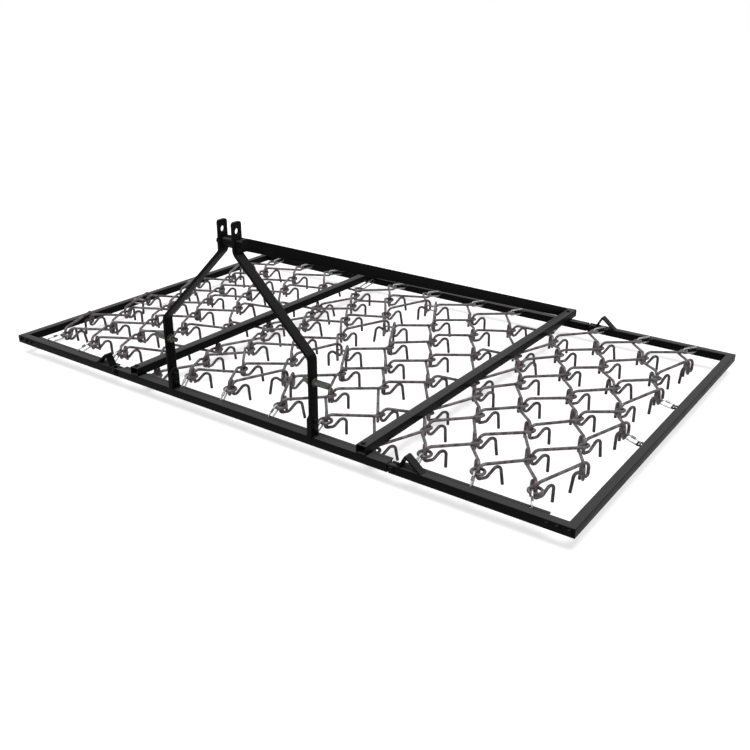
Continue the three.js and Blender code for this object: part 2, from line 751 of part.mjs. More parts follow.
// The two mats meet at the centreline, where quick links join their edge links
const centreLinks = [];
for (let row = 1; row <= rowCount; row += 2) {
  const y = ringRowY + rowPitch * row;
  const reach = centreColumn + rodHalf;
  centreLinks.push(quickLink(vector(-reach, y, eyeLevel), vector(reach, y, eyeLevel), vector(0, 0, 1)));
}
place('centre_mat_strip', joined([...columnPair(0, 1), ...columnPair(0, -1), ...centreLinks]), 'rod');

const stripNames = ['', 'inner', 'crossbar', 'fold', 'wing', 'outer'];
for (const side of [-1, 1]) {
  for (let pair = 1; pair < columnCount; pair += 1) {
    const pieces = columnPair(pair, side);
    if (pair === columnCount - 1) {
      for (const row of sideLinkRows) {
        const node = nodeAt(row, edgeColumn, side);
        const barX = side * (wingEndX - railSize - sideStapleReach + stapleLeg + quickLinkSlack + quickLinkHalf);
        const end = vector(barX, node.y, hangerTop - hangerThickness / 2);
        pieces.push(quickLink(vector(node.x, node.y, node.z - hookDrop), end, vector(0, 0, 1)));
      }
    }
    place(`${sideName(side)}_${stripNames[pair]}_mat_strip`, joined(pieces), 'rod');
  }
}

export default group;
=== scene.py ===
"""Chain harrow: the round rods, wire links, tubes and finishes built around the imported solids.

Lengths in the functions are millimetres, and a piece is turned into metres when its mesh is made.
"""

import math

import bpy
import numpy as np
from bpy.props import FloatProperty, FloatVectorProperty, IntProperty, PointerProperty
from bpy.types import Operator, Panel, PropertyGroup
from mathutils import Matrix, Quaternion, Vector


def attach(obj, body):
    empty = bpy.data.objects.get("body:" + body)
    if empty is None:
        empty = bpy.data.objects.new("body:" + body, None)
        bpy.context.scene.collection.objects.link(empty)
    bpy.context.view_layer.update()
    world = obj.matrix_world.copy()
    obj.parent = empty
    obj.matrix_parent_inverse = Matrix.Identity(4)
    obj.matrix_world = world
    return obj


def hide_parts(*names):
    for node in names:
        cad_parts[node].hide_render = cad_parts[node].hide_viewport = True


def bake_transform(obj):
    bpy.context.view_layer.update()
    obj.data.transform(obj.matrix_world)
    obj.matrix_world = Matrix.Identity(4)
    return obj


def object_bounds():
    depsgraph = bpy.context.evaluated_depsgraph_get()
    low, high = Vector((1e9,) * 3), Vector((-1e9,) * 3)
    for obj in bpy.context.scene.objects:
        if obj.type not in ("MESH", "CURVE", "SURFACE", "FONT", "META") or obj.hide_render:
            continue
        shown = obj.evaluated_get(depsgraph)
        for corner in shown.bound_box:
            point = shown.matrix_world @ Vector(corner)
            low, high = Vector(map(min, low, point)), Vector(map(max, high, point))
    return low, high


bl_info = {
    "name": "Chain harrow",
    "version": (1, 0, 0),
    "blender": (4, 5, 0),
    "location": "View3D > Sidebar > Harrow",
    "description": "Builds a folding chain harrow with its tine mat, frame and three-point mast",
    "category": "Add Mesh",
}

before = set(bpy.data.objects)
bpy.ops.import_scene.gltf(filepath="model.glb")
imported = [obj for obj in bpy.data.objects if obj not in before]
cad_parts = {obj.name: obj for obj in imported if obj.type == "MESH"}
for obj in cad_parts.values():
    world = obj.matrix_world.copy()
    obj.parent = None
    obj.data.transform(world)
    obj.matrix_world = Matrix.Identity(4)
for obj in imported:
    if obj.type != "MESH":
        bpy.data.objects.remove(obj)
CAD_BOX = [list(corner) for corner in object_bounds()]

MM = 0.001
SIDES = (("left", -1), ("right", 1))

# Frame. RAIL is the solids' square rail, and the shown one has grown from it inwards and down.
FRAME_WIDTH = 2438.4
FRAME_DEPTH = 1524.0
CENTRE_HALF = FRAME_WIDTH / 4
RAIL = 25.4
RAIL_GROWN = 5.6
RAIL_SHOWN = RAIL + RAIL_GROWN
RAIL_INNER = RAIL / 2 + RAIL_GROWN
RAIL_MIDDLE = (RAIL - RAIL_GROWN) / 2
RAIL_WALL = 2.6
REAR_RAIL_Y = FRAME_DEPTH - RAIL
CLEARANCE = 0.3
CUT_GAP = 0.2
HINGE_GAP = 6.0
HINGE_Z = RAIL / 2
WING_START = CENTRE_HALF + HINGE_GAP
WING_END = FRAME_WIDTH / 2 - RAIL_SHOWN / 2
SIDE_FACE = WING_END - RAIL_SHOWN / 2
PIVOT_X = WING_START + RAIL / 2
SLOT_LENGTH = 29.0

# Crossbars
BAR_WIDTH = 38.0
BAR_HEIGHT = 32.0
BAR_WALL = 3.0
BAR_X = 514.0
BAR_OVERHANG = 34.0
BAR_BOTTOM = RAIL + CLEARANCE
BAR_TOP = BAR_BOTTOM + BAR_HEIGHT
BAR_FRONT = -RAIL / 2
BAR_REAR = REAR_RAIL_Y + RAIL / 2 + BAR_OVERHANG

# Mast. A profile is (radius, distance) pairs along a turned piece, from the face that it sits on.
MAST_WIDTH = 38.0
MAST_THICK = 10.0
MAST_FOOT_X = 320.0
MAST_Y = -1.0
MAST_SHOULDER_Z = 295.0
MAST_NECK_Z = 578.0
MAST_TOP_Z = 677.0
MAST_TOP_X = 30.0
MAST_BEND = 26.0
MAST_EDGE = 1.3
MAST_CORNER = 9.0
MAST_COLUMNS = 72
TOP_HOLE_Z = 647.0
TOP_HOLE_RADIUS = 10.0
TOP_HOLE_LIP = 0.6
TOP_PLATE_Z = TOP_HOLE_Z - 27.0
TOP_PLATE_EDGE = 0.8
TOP_BOLT_Z = 607.0
TOP_STEM_RADIUS = 5.9
SPACER_RADIUS = 13.0
SPACER_BORE = 7.2
SPACER_EDGE = 0.5
PLATE_THICK = 8.0
PLATE_OUTLINE = ((-19.0, 0.0), (19.0, 0.0), (19.0, 64.0), (5.0, 78.0), (-5.0, 78.0), (-19.0, 64.0))
PLATE_BOLTS_Z = (48.0, 80.0)
MAST_WELD_GAP = 1.2
MAST_WELD_RISE = 0.8
MAST_WELD_ENDS = (MAST_Y - 10.0, MAST_Y + 11.0)
PIN_Z = 215.0
PIN_PROFILE = (
    (8, -41), (8, 0), (12.4, 0.1), (13, 0.6), (13, 3.6), (12.2, 4.2), (10.6, 4.6),
    (10.6, 48), (9.8, 48.8), (9.8, 51.5), (10.6, 52.3), (10.6, 57.5), (9.6, 59.8), (7.5, 61),
)
PIN_TAIL_PROFILE = ((8, 0), (8, 18), (7, 19))

# Braces
BRACE_HEIGHT = 40.0
BRACE_THICK = 8.0
BRACE_EDGE = 1.2
BRACE_TAB_Z = 598.0
BRACE_TAB_FRONT = MAST_Y - 12.0
BRACE_TAB_REAR = MAST_Y + 32.0
BRACE_END = BAR_REAR - 8.0
BRACE_FLANK_SHARE = 0.955
BRACE_BENDS = (30.0, 60.0)
BRACE_WELD = (BAR_REAR - 46.0, BAR_REAR - 9.0)

# Stop straps: their bar, where their feet and crest stand, and their welds
STRAP_WIDTH = 30.0
STRAP_THICK = 6.0
STRAP_RISE = 44.0
STRAP_INNER = PIVOT_X + 19.0
STRAP_CREST = PIVOT_X + 46.0
STRAP_OUTER = PIVOT_X + 102.0
STRAP_WELD_HALF = 13.0
STRAP_WELD_GAP = 0.6
STRAP_WELD_RADIUS = 2.0
WELD_RISE = 0.4

# Bolt heads and nuts: corner radius, height, and washer radius where there is a washer. The crown's shares
# are its foot's radius, shoulder's height and top's radius, and the stem's are its radius, root and tip.
FRAME_BOLT = (7.5, 7.0, 9.5)
TOP_BOLT = (10.2, 7.8)
PIVOT_BOLT = (9.2, 6.1, 9.4)
RAIL_BOLT = (6.2, 5.4, 7.6)
PIN_NUT = (14.0, 13.0, 15.5)
PIVOT_STEM_RADIUS = 4.9
STEM_OVERRUN = 1.0
RAIL_BOLTS_X = (1136.0, 1167.0, 1203.0)
RAIL_BOLTS_Z = HINGE_Z + 1.0
HEAD_EDGE = 0.4
HEAD_TURN = 0.4
WASHER_TOP_EDGE = 0.5
WASHER_THICK = 1.8
CROWN_SHARES = (0.97, 0.82, 0.86)
STEM_SHARES = (0.7, 0.5, 0.62)
STEM_RISES = (0.05, 0.3)

# Hangers and staples
HANGER_REACH = 12.0
HANGER_THICK = 5.0
HANGER_Y = RAIL_INNER + HANGER_REACH
HANGER_TOP = RAIL - 0.4
HANGER_LEVEL = HANGER_TOP - HANGER_THICK / 2
HANGER_FIRST = PIVOT_X + 14.0
HANGER_LAST = FRAME_WIDTH / 2 - 92.0
CENTRE_STRIP_HALF = CENTRE_HALF - 4.0
NOTCH_HALF = 4.5
NOTCH_WEB = 5.0
STAPLE_WIDTH = 28.0
STAPLE_LEG = 5.0
STAPLE_BITE = 0.5
STAPLE_BEND = 3.2
STAPLE_CORNER = 1.0
LOW_STAPLE_Z = 12.0
SIDE_STAPLE_REACH = 17.0

# Round rod and wire: diameters, and half the side of a square bar of the same section, as in the solids
ROD = 10.3
WIRE = 6.0
ROD_HALF = ROD * math.sqrt(math.pi) / 4
WIRE_HALF = WIRE * math.sqrt(math.pi) / 4

# Quick links. SIDE_LINKS are pairs of the mat's row and the staple's y. The sleeve's shares are its radius
# over the wire's, its ends' radius over its own, and how much of a bend it keeps clear of.
SIDE_LINKS = ((3, 564.2), (5, 897.2))
LINK_SHIFT = 5.0
LINK_NARROW = 9.2
LINK_WIDE = 10.6
LINK_PLAY = 2.8
LINK_SLACK = 0.9
LINK_BEND_SHARE = 0.97
LINK_OVER_BAR = 6.0
LINK_OVER_RING = 8.0
SIDE_LINK_DROP = 14.0
SLEEVE_HALF = 7.5
SLEEVE_EDGE = 0.8
SLEEVE_SHARES = (1.62, 0.86, 0.6)

# Mat. Columns are distances from the middle, and rows count from the rings, which are row nought.
EYE_LEVEL = 46.0
SAG_LEVEL = 34.0
SAG_SHARE = 0.75
UNDER_BAR_LEVEL = -2.0
PITCH = 192.0
ROW_PITCH = 160.2
ROWS = 8
COLUMNS = 6
FIRST_COLUMN = 116.0
CENTRE_COLUMN = 20.0
EDGE_COLUMN = 1152.0
BAR_COLUMN = FIRST_COLUMN + 2 * PITCH
RING_COLUMNS = [FIRST_COLUMN + PITCH * index for index in range(COLUMNS)]
RING_ROW_Y = 94.7
LEG_LENGTH = math.hypot(PITCH / 2, ROW_PITCH)
TURNED_HALF = ROD_HALF * (ROW_PITCH + PITCH / 2) / LEG_LENGTH
SEAT_DEPTH = ROD_HALF + TURNED_HALF + CLEARANCE
FUSED_DEPTH = ROD_HALF + TURNED_HALF - 0.5
SECOND_DEPTH = 24.7
FIRST_SHIFT = 2.0
SECOND_SHIFT = 1.5
HOOK_RISE = 25.0
UNDER_BAR_RISE = 14.0
EDGE_HOOK_RISE = HOOK_RISE + 2 * ROD_HALF + 1.5
HOOK_BOTTOM = 23.3
EDGE_HOOK_BOTTOM = 14.0
HOOK_BACK = 13.2
HOOK_BENDS = (22.0, 9.0, 14.0, 14.0)
CREST_BACK = 56.0
CREST_HEIGHT = 22.0
CREST_OVER_LEG = 5.0
TOOTH_BACK = 62.0
TOOTH_DROP = 58.0
# Length from a tooth's tip over which the rod's painted shade fades out
TOOTH_SHADE_REACH = 105.0
TOOTH_SWAY = 7.0
SWAY_ALONG_X = 0.05
SWAY_ALONG_Y = 0.031
UNDER_BAR_DROP = 50.0
EYE_LENGTH = 29.4
EYE_HALF = 13.2
EYE_TIP_HALF = 11.0
EYE_LIFT = 5.4
EYE_BEND = 10.0
CROSS_BEND = 14.0
ROD_BEVEL = 0.9
ROD_STEP = 30.0
FOLD_ROD_STEP = 9.0
DRIFT = np.random.default_rng(11).uniform(-1, 1, (2, ROWS, 2 * COLUMNS + 1, 3)) * (8.0, 6.0, 3.0)
PULLED = {-1: np.array((36.0, 22.0, -13.0)), 1: np.array((-22.0, 0.0, 0.0))}
STRIP_NAMES = ("centre", "inner", "crossbar", "fold", "wing", "outer")
FOLD_PAIR = STRIP_NAMES.index("fold")

# Curves: a length near nought, a turn too small to round, how much of a leg its bends may take up,
# directions that no path and no axis has, and the steps of a rounded corner
TINY = 1e-9
STRAIGHT = 1e-3
LEG_SHARE = 0.98
OFF_PATH = (0.31, 0.23, 0.92)
OFF_AXIS = (0.2, 0.3, 0.9)
CORNER_STEPS = 4

# Stage, in metres but for the camera's sensor
FLOOR_REACH = 30.0
FLOOR_GAP = 0.0005
FLOOR_SEEN = 0.62
CAMERA_PLACE = (1.9502, -1.9735, 1.3496)
CAMERA_AHEAD = (-0.529, 0.7489, -0.3991)
CAMERA_SENSOR = 36
LAMP_AHEAD = (-0.12, 0.2, -1.0)


# Arrays and shells. A shell is a pair: points, and faces as lists of point numbers.


def unit(vectors):
    """Each vector over its own length."""
    vectors = np.asarray(vectors, float)
    return vectors / np.linalg.norm(vectors, axis=-1, keepdims=True)


def filleted(corners, radii, step=12.0):
    """A path whose inner corners are arcs: centre + start cos(a) + into r sin(a), a up to the turn."""
    corners = np.asarray(corners, float)
    legs = np.diff(corners, axis=0)
    lengths = np.linalg.norm(legs, axis=1)
    ahead = legs / lengths[:, None]
    turns = np.arccos(np.clip(np.sum(ahead[:-1] * ahead[1:], 1), -1, 1))
    need = np.asarray(radii, float) * np.tan(turns / 2)
    both = np.concatenate([[0], need]) + np.concatenate([need, [0]])
    share = np.minimum(1, lengths * LEG_SHARE / np.maximum(both, TINY))
    radii = np.asarray(radii, float) * np.minimum(share[:-1], share[1:])
    parts = [corners[:1]]
    for before, here, after, radius in zip(corners[:-2], corners[1:-1], corners[2:], radii):
        into, out = unit(here - before), unit(after - here)
        turn = math.acos(float(np.clip(into @ out, -1, 1)))
        if turn < STRAIGHT:
            parts.append(here[None])
            continue
        centre = here + unit(out - into) * radius / math.cos(turn / 2)
        start = here - into * radius * math.tan(turn / 2) - centre
        count = max(2, math.ceil(math.degrees(turn) / step))
        angle = np.linspace(0, turn, count + 1)[:, None]
        parts.append(centre + start * np.cos(angle) + into * radius * np.sin(angle))
    parts.append(corners[-1:])
    return np.concatenate(parts)


def filleted_loop(corners, radius, step=12.0):
    """A closed path with every corner rounded."""
    around = [corners[-1], *corners, corners[0]]
    return filleted(around, [radius] * len(corners), step)[1:-1]


def divided(path, longest):
    """The same path with long stretches cut into equal parts no longer than the given length."""
    gaps = np.linalg.norm(np.diff(path, axis=0), axis=1)
    counts = np.maximum(1, np.ceil(gaps / longest)).astype(int)
    place = np.concatenate([np.arange(n) / n + i for i, n in enumerate(counts)] + [[len(gaps)]])
    known = np.arange(len(path))
    return np.stack([np.interp(place, known, path[:, k]) for k in range(3)], 1)


def transported(path, side, closed=False):
    """Tangent, side and up along a path. Each side vector is the one before it turned by the least
    turn between the two tangents: a rough side is taken first, and its summed twists are turned back."""
    ahead = unit(np.roll(path, -1, 0) - path)
    if closed:
        tangent = unit(ahead + np.roll(ahead, 1, 0))
    else:
        legs = ahead[:-1]
        tangent = unit(np.concatenate([legs[:1], legs[:-1] + legs[1:], legs[-1:]]))
    rough = unit(np.cross(tangent, OFF_PATH))
    one, two = tangent[:-1], tangent[1:]
    share = np.sum(rough[:-1] * two, 1) / (1 + np.sum(one * two, 1))
    carried = rough[:-1] - share[:, None] * (one + two)
    twist = np.arctan2(
        np.sum(np.cross(carried, rough[1:]) * two, 1), np.sum(carried * rough[1:], 1)
    )
    first = math.atan2(
        float(np.cross(rough[0], side) @ tangent[0]), float(rough[0] @ np.asarray(side, float))
    )
    angle = (first - np.concatenate([[0], np.cumsum(twist)]))[:, None]
    across = rough * np.cos(angle) + np.cross(tangent, rough) * np.sin(angle)
    return tangent, across, np.cross(tangent, across)


def grid_faces(rows, columns, loop=False):
    """Quads between the neighbouring rows of a grid whose rows are closed rings."""
    i = np.arange(rows if loop else rows - 1)[:, None]
    j = np.arange(columns)[None]
    right = (j + 1) % columns
    lower = (i + 1) % rows
    quads = [i * columns + j, i * columns + right, lower * columns + right, lower * columns + j]
    return np.stack(quads, -1).reshape(-1, 4).tolist()


def capped_faces(rows, columns):
    """The quads of an open grid, and one face over its first ring and one over its last."""
    faces = grid_faces(rows, columns)
    faces.append(list(range(columns - 1, -1, -1)))
    faces.append(list(range((rows - 1) * columns, rows * columns)))
    return faces


def sweep(path, outline, side, closed=False, shrink=None):
    """An outline carried along a path: point (i, j) = path i + shrink i (side i u j + up i v j)."""
    path = np.asarray(path, float)
    _, across, up = transported(path, side, closed)
    scale = np.ones(len(path)) if shrink is None else shrink
    u, v = outline[:, 0], outline[:, 1]
    spread = across[:, None] * u[None, :, None] + up[:, None] * v[None, :, None]
    points = (path[:, None] + spread * scale[:, None, None]).reshape(-1, 3)
    size = len(path), len(outline)
    return points, grid_faces(*size, loop=True) if closed else capped_faces(*size)


def cut_ends(path, bevel, end_share=0.8):
    """A path with a station just inside each end, and the shrink that bevels the two cut ends."""
    first = path[0] + unit(path[1] - path[0]) * bevel
    last = path[-1] + unit(path[-2] - path[-1]) * bevel
    path = np.concatenate([path[:1], [first], path[1:-1], [last], path[-1:]])
    shrink = np.ones(len(path))
    shrink[[0, -1]] = end_share
    return path, shrink


def circle(radius, sides):
    """Points r cos(a), r sin(a) round a circle."""
    angle = np.arange(sides) * 2 * math.pi / sides
    return np.stack([radius * np.cos(angle), radius * np.sin(angle)], 1)


def rounded_rectangle(width, height, radius, steps=CORNER_STEPS):
    """A rectangle with quarter arcs for corners, from the upper right one round."""
    quarter = np.linspace(0, math.pi / 2, steps + 1)
    arcs = []
    for turn, (sx, sy) in enumerate(((1, 1), (-1, 1), (-1, -1), (1, -1))):
        angle = quarter + turn * math.pi / 2
        x = sx * (width / 2 - radius) + radius * np.cos(angle)
        y = sy * (height / 2 - radius) + radius * np.sin(angle)
        arcs.append(np.stack([x, y], 1))
    return np.concatenate(arcs)


def tube(start, end, across, width, height, corner, wall, slants=(0, 0), least_corner=0.6):
    """Rectangular tube between two points: an outer and an inner rounded rectangle on each end plane.
    An end plane slants by its share of the distance across."""
    start, end, across = (np.asarray(v, float) for v in (start, end, across))
    along = unit(end - start)
    up = np.cross(along, across)
    outer = rounded_rectangle(width, height, corner)
    inner = rounded_rectangle(width - 2 * wall, height - 2 * wall, max(corner - wall, least_corner))
    count = len(outer)
    rings = []
    for outline in (outer, inner):
        for base, slant in ((start, slants[0]), (end, slants[1])):
            u, v = outline[:, :1], outline[:, 1:]
            rings.append(base + across * u + up * v + along * slant * u)
    j = np.arange(count)
    n = (j + 1) % count
    o0, o1, i0, i1 = 0, count, 2 * count, 3 * count
    quads = np.concatenate([
        np.stack([o0 + j, o0 + n, o1 + n, o1 + j], 1),
        np.stack([i0 + j, i1 + j, i1 + n, i0 + n], 1),
        np.stack([o0 + j, i0 + j, i0 + n, o0 + n], 1),
        np.stack([o1 + j, o1 + n, i1 + n, i1 + j], 1),
    ])
    return np.concatenate(rings), quads.tolist()


def slab(outline, axis, low, high):
    """An outline given thickness along one axis: at its low and at its high end, with walls between."""
    outline = np.asarray(outline, float)
    u, v = outline[:, 0], outline[:, 1]
    area = np.sum(u * np.roll(v, -1) - np.roll(u, -1) * v)
    if (area < 0) != (axis == 1):
        u, v = u[::-1], v[::-1]
    others = [k for k in range(3) if k != axis]
    count = len(u)
    points = np.zeros((2 * count, 3))
    points[:, others[0]] = np.tile(u, 2)
    points[:, others[1]] = np.tile(v, 2)
    points[:count, axis] = low
    points[count:, axis] = high
    return points, capped_faces(2, count)


def turned(profile, centre, axis, sides, start=0.0):
    """A profile turned round an axis: point = centre + axis s + r (a cos + b sin)."""
    axis = unit(axis)
    a = unit(np.cross(axis, OFF_AXIS))
    b = np.cross(axis, a)
    angle = start + np.arange(sides) * 2 * math.pi / sides
    ring = np.cos(angle)[:, None] * a + np.sin(angle)[:, None] * b
    r, s = np.asarray(profile, float).T
    points = np.asarray(centre, float) + s[:, None, None] * axis + r[:, None, None] * ring
    return points.reshape(-1, 3), capped_faces(len(r), sides)


def hex_head(centre, direction, radius, height, washer=0.0):
    """A hexagonal head with a rounded crown and its bolt's end, on a washer where one is given."""
    shells = []
    edge, thick = HEAD_EDGE, WASHER_THICK
    if washer:
        rim, top = washer - edge, washer - WASHER_TOP_EDGE
        disc = [(rim, 0), (washer, edge), (washer, thick - edge), (top, thick)]
        shells.append(turned(disc, centre, direction, sides=28))
    base = thick if washer else 0.0
    foot, shoulder, crown = CROWN_SHARES
    wall = (radius, base + edge), (radius, height * shoulder)
    head = [(radius * foot, base), *wall, (radius * crown, height)]
    shells.append(turned(head, centre, direction, sides=6, start=HEAD_TURN))
    thread, root, tip = STEM_SHARES
    low, high = height + STEM_RISES[0], height + STEM_RISES[1]
    stem = [(radius * thread, height * root), (radius * thread, low), (radius * tip, high)]
    shells.append(turned(stem, centre, direction, sides=24))
    return shells


def bead(path, side, radius=2.4):
    """A weld bead: a round section whose radius swells with each ripple, r (thin share + swell share
    |sin(turn i)|) at step i, and which is thinner still at both ends."""
    step, thin_share, swell_share, end_share, turn = 1.6, 0.82, 0.22, 0.35, 1.15
    path = divided(np.asarray(path, float), step)
    ripple = thin_share + swell_share * np.abs(np.sin(np.arange(len(path)) * turn))
    ripple[[0, -1]] = end_share
    return sweep(path, circle(radius, sides=8), side, shrink=ripple)


# Pieces


def piece(name, shells, body="centre_frame", node=None, slot="black_paint", sharp=35.0):
    """One mesh of several shells, in metres, with its body, the solid it stands for and its finish."""
    offset = 0
    points, faces = [], []
    for shell_points, shell_faces in shells:
        points.append(shell_points)
        faces += [[k + offset for k in face] for face in shell_faces]
        offset += len(shell_points)
    mesh = bpy.data.meshes.new(name)
    mesh.from_pydata((np.concatenate(points) * MM).tolist(), [], faces)
    mesh.shade_smooth()
    mesh.set_sharp_from_angle(angle=math.radians(sharp))
    mesh.materials.append(finish_of(slot))
    made = bpy.data.objects.new(name, mesh)
    bpy.context.scene.collection.objects.link(made)
    if body:
        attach(made, body)
    if node:
        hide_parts(node)
    return made


def marked(made, attribute, values):
    """Stores a value for each point of a mesh, for its finish."""
    layer = made.data.attributes.new(attribute, "FLOAT", "POINT")
    layer.data.foreach_set("value", np.asarray(values, np.float32))


def linked(name, shells, body):
    """A quick link: its wire and its sleeve, which the finish tells apart."""
    made = piece(name, shells, body, slot="zinc")
    marked(made, "sleeve", np.repeat([0.0, 1.0], [len(points) for points, _ in shells]))


def welded(name, paths, body="centre_frame", **sizes):
    """The weld beads of one joint."""
    piece(name, [bead(path, (0, 0, 1), **sizes) for path in paths], body, sharp=80)


def bevelled(made, width):
    """Rounds the sharp edges of a plate."""
    modifier = made.modifiers.new("edges", "BEVEL")
    modifier.width = width * MM
    modifier.segments = 2
    modifier.limit_method = "ANGLE"
    modifier.angle_limit = math.radians(40)


def body_at(column, name):
    """The body that carries what stands at a column."""
    return f"{name}_wing" if column > PIVOT_X else "centre_frame"


def level_at(column):
    """Height of the mat at a column: it sags beneath the crossbars."""
    if column == BAR_COLUMN:
        return UNDER_BAR_LEVEL
    return SAG_LEVEL if abs(column - BAR_COLUMN) < PITCH * SAG_SHARE else EYE_LEVEL


def odd_column(index):
    """Columns of the odd rows, halfway between the others but for the centre and the edge."""
    if index == 0:
        return CENTRE_COLUMN
    if index == COLUMNS:
        return EDGE_COLUMN
    return RING_COLUMNS[index - 1] + PITCH / 2


def node_at(row, column, side):
    """Where a link's eye ends: x, y, z and its column. Links inside the mat lie a little out of line,
    and the wings' are pulled inwards, the left one's back and down too, the more the further out."""
    x, y, z = side * column, RING_ROW_Y + ROW_PITCH * row, level_at(column)
    if column > PIVOT_X:
        share = (column - PIVOT_X) / (EDGE_COLUMN - PIVOT_X)
        pull = PULLED[side] * (1, 1 - row / ROWS, 1) * share
        x, y, z = x + pull[0], y + pull[1], z + pull[2]
    if 0 < row < ROWS and column not in (CENTRE_COLUMN, EDGE_COLUMN):
        across, along, up = DRIFT[(side + 1) // 2, row, round(2 * column / PITCH)]
        x, y, z = x + across, y + along, z if column == BAR_COLUMN else z + up
    return x, y, z, column


def foot_at(node, depth, toward):
    """Where a hook goes down through the eye at a node, how much further back it sits than the nearest
    hook does, how high it rises, how deep it goes and how far its tooth drops."""
    shift = SECOND_SHIFT if depth == SECOND_DEPTH else FIRST_SHIFT
    x, y, z, column = node
    extra = (depth - FUSED_DEPTH) * LEG_LENGTH / ROW_PITCH
    rise, drop = (UNDER_BAR_RISE, UNDER_BAR_DROP) if column == BAR_COLUMN else (HOOK_RISE, TOOTH_DROP)
    return np.array((x + toward * shift, y - depth, z)), extra, rise, HOOK_BOTTOM, drop


def hook(foot, heading, extra, rise, bottom, drop):
    """Corners of a hook in the upright plane of its leg: up, down through the eye, back and over, tooth.
    The teeth lean by a sway that follows the sine of their place."""
    sway = TOOTH_SWAY * math.sin(SWAY_ALONG_X * foot[0] + SWAY_ALONG_Y * foot[1])
    back = np.array((0, 0, HOOK_BACK + extra, CREST_BACK + extra, TOOTH_BACK + extra + sway))
    up = np.array((rise, -bottom, -bottom, min(CREST_HEIGHT, rise + CREST_OVER_LEG), -drop))
    return foot - heading * back[:, None] + np.array((0, 0, 1.0)) * up[:, None]


def flat_heading(to, start):
    """Level direction from one point to another."""
    return unit((to[0] - start[0], to[1] - start[1], 0.0))


def tine_path(node, inner, outer, side):
    """Path of a full tine link: hook, leg, crossing eye, leg, hook."""
    x, y, z, _ = node
    eye = np.array((
        (x + side * EYE_HALF, y - EYE_LENGTH, z + EYE_LIFT),
        (x + side * EYE_TIP_HALF, y, z),
        (x - side * EYE_TIP_HALF, y, z),
        (x - side * EYE_HALF, y - EYE_LENGTH, z - EYE_LIFT),
    ))
    one = hook(inner[0], flat_heading(inner[0], eye[0]), *inner[1:])[::-1]
    two = hook(outer[0], flat_heading(outer[0], eye[3]), *outer[1:])
    corners = np.concatenate([one, eye, two])
    radii = [*HOOK_BENDS[::-1], CROSS_BEND, EYE_BEND, EYE_BEND, CROSS_BEND, *HOOK_BENDS]
    return filleted(corners, radii)


def edge_path(node, front):
    """Path of an edge link: one leg with a hook and tooth at each end."""
    x, y, z, _ = node
    heading = flat_heading(front[0], (x, y))
    foot = np.array((x, y, z)) - heading * FUSED_DEPTH
    rear = hook(foot, -heading, 0.0, EDGE_HOOK_RISE, EDGE_HOOK_BOTTOM, UNDER_BAR_DROP)
    one = hook(front[0], heading, *front[1:])[::-1]
    return filleted(np.concatenate([one, rear]), [*HOOK_BENDS[::-1], *HOOK_BENDS])


def pair_paths(pair, side):
    """Paths of one pair of columns, row by row."""
    paths = []
    last = pair == COLUMNS - 1
    column = RING_COLUMNS[pair]
    for row in range(1, ROWS + 1):
        odd = row % 2 == 1
        own = SEAT_DEPTH if row == 1 else FUSED_DEPTH

        def front(column, depth, toward, row=row):
            return foot_at(node_at(row - 1, column, side), depth, toward)

        if odd and pair == 0:
            paths.append(edge_path(node_at(row, CENTRE_COLUMN, side), front(column, own, -side)))
        elif odd:
            inner = front(RING_COLUMNS[pair - 1], SECOND_DEPTH, side)
            outer = front(column, own, -side)
            paths.append(tine_path(node_at(row, odd_column(pair), side), inner, outer, side))
        else:
            inner = front(odd_column(pair), own, side)
            outer = front(odd_column(pair + 1), own if last else SECOND_DEPTH, -side)
            paths.append(tine_path(node_at(row, column, side), inner, outer, side))
        if odd and last:
            paths.append(edge_path(node_at(row, EDGE_COLUMN, side), front(column, SECOND_DEPTH, side)))
    return paths


def rod_shell(path, radius, sides, longest):
    """A round rod along a path with bevelled cut ends, and how close each point is to a tooth's tip, for
    the painted shade of the teeth.
    """
    path, shrink = cut_ends(divided(path, longest), ROD_BEVEL)
    gaps = np.linalg.norm(np.diff(path, axis=0), axis=1)
    run = np.concatenate([[0], np.cumsum(gaps)])
    # Painted shade: one at the tips of the teeth, fading to nought along the rod, so the hanging teeth are
    # painted darker
    near = 1 - np.clip(np.minimum(run, run[-1] - run) / TOOTH_SHADE_REACH, 0, 1)
    shell = sweep(path, circle(radius, sides), (0, 1, 0), shrink=shrink)
    return shell, np.repeat(near, sides)


def wire_link(start, end, half, radius):
    """An upright oval of wire with its screw sleeve: two straight sides and two half circles."""
    start, end = np.asarray(start, float), np.asarray(end, float)
    along = unit(end - start)
    up = np.array((0, 0, 1.0))
    across = unit(up - along * (up @ along))
    start, end = start - along * LINK_SLACK, end + along * LINK_SLACK
    corners = [start + across * half, start - across * half, end - across * half, end + across * half]
    loop = filleted_loop(corners, half * LINK_BEND_SHARE, step=15.0)
    ring = sweep(loop, circle(radius, sides=10), np.cross(along, across), closed=True)
    middle = (start + end) / 2 + across * half
    grip_share, end_share, bend_share = SLEEVE_SHARES
    long = min(SLEEVE_HALF, np.linalg.norm(end - start) / 2 - half * bend_share)
    grip, edge = radius * grip_share, long - SLEEVE_EDGE
    sleeve = [(grip * end_share, -long), (grip, -edge), (grip, edge), (grip * end_share, long)]
    return [ring, turned(sleeve, middle, along, sides=6)]


def staple(centre, outward, reach):
    """A square-section U welded to a rail's face."""
    outward = np.asarray(outward, float)
    across = np.array((-outward[1], outward[0], 0.0))
    half = (STAPLE_WIDTH - STAPLE_LEG) / 2
    line = reach - STAPLE_LEG / 2
    marks = ((-half, -STAPLE_BITE), (-half, line), (half, line), (half, -STAPLE_BITE))
    corners = [np.asarray(centre, float) + across * a + outward * o for a, o in marks]
    path = filleted(corners, [STAPLE_BEND] * 2, step=18.0)
    section = rounded_rectangle(HANGER_THICK, STAPLE_LEG, STAPLE_CORNER, steps=2)
    return sweep(path, section, (0, 0, 1))


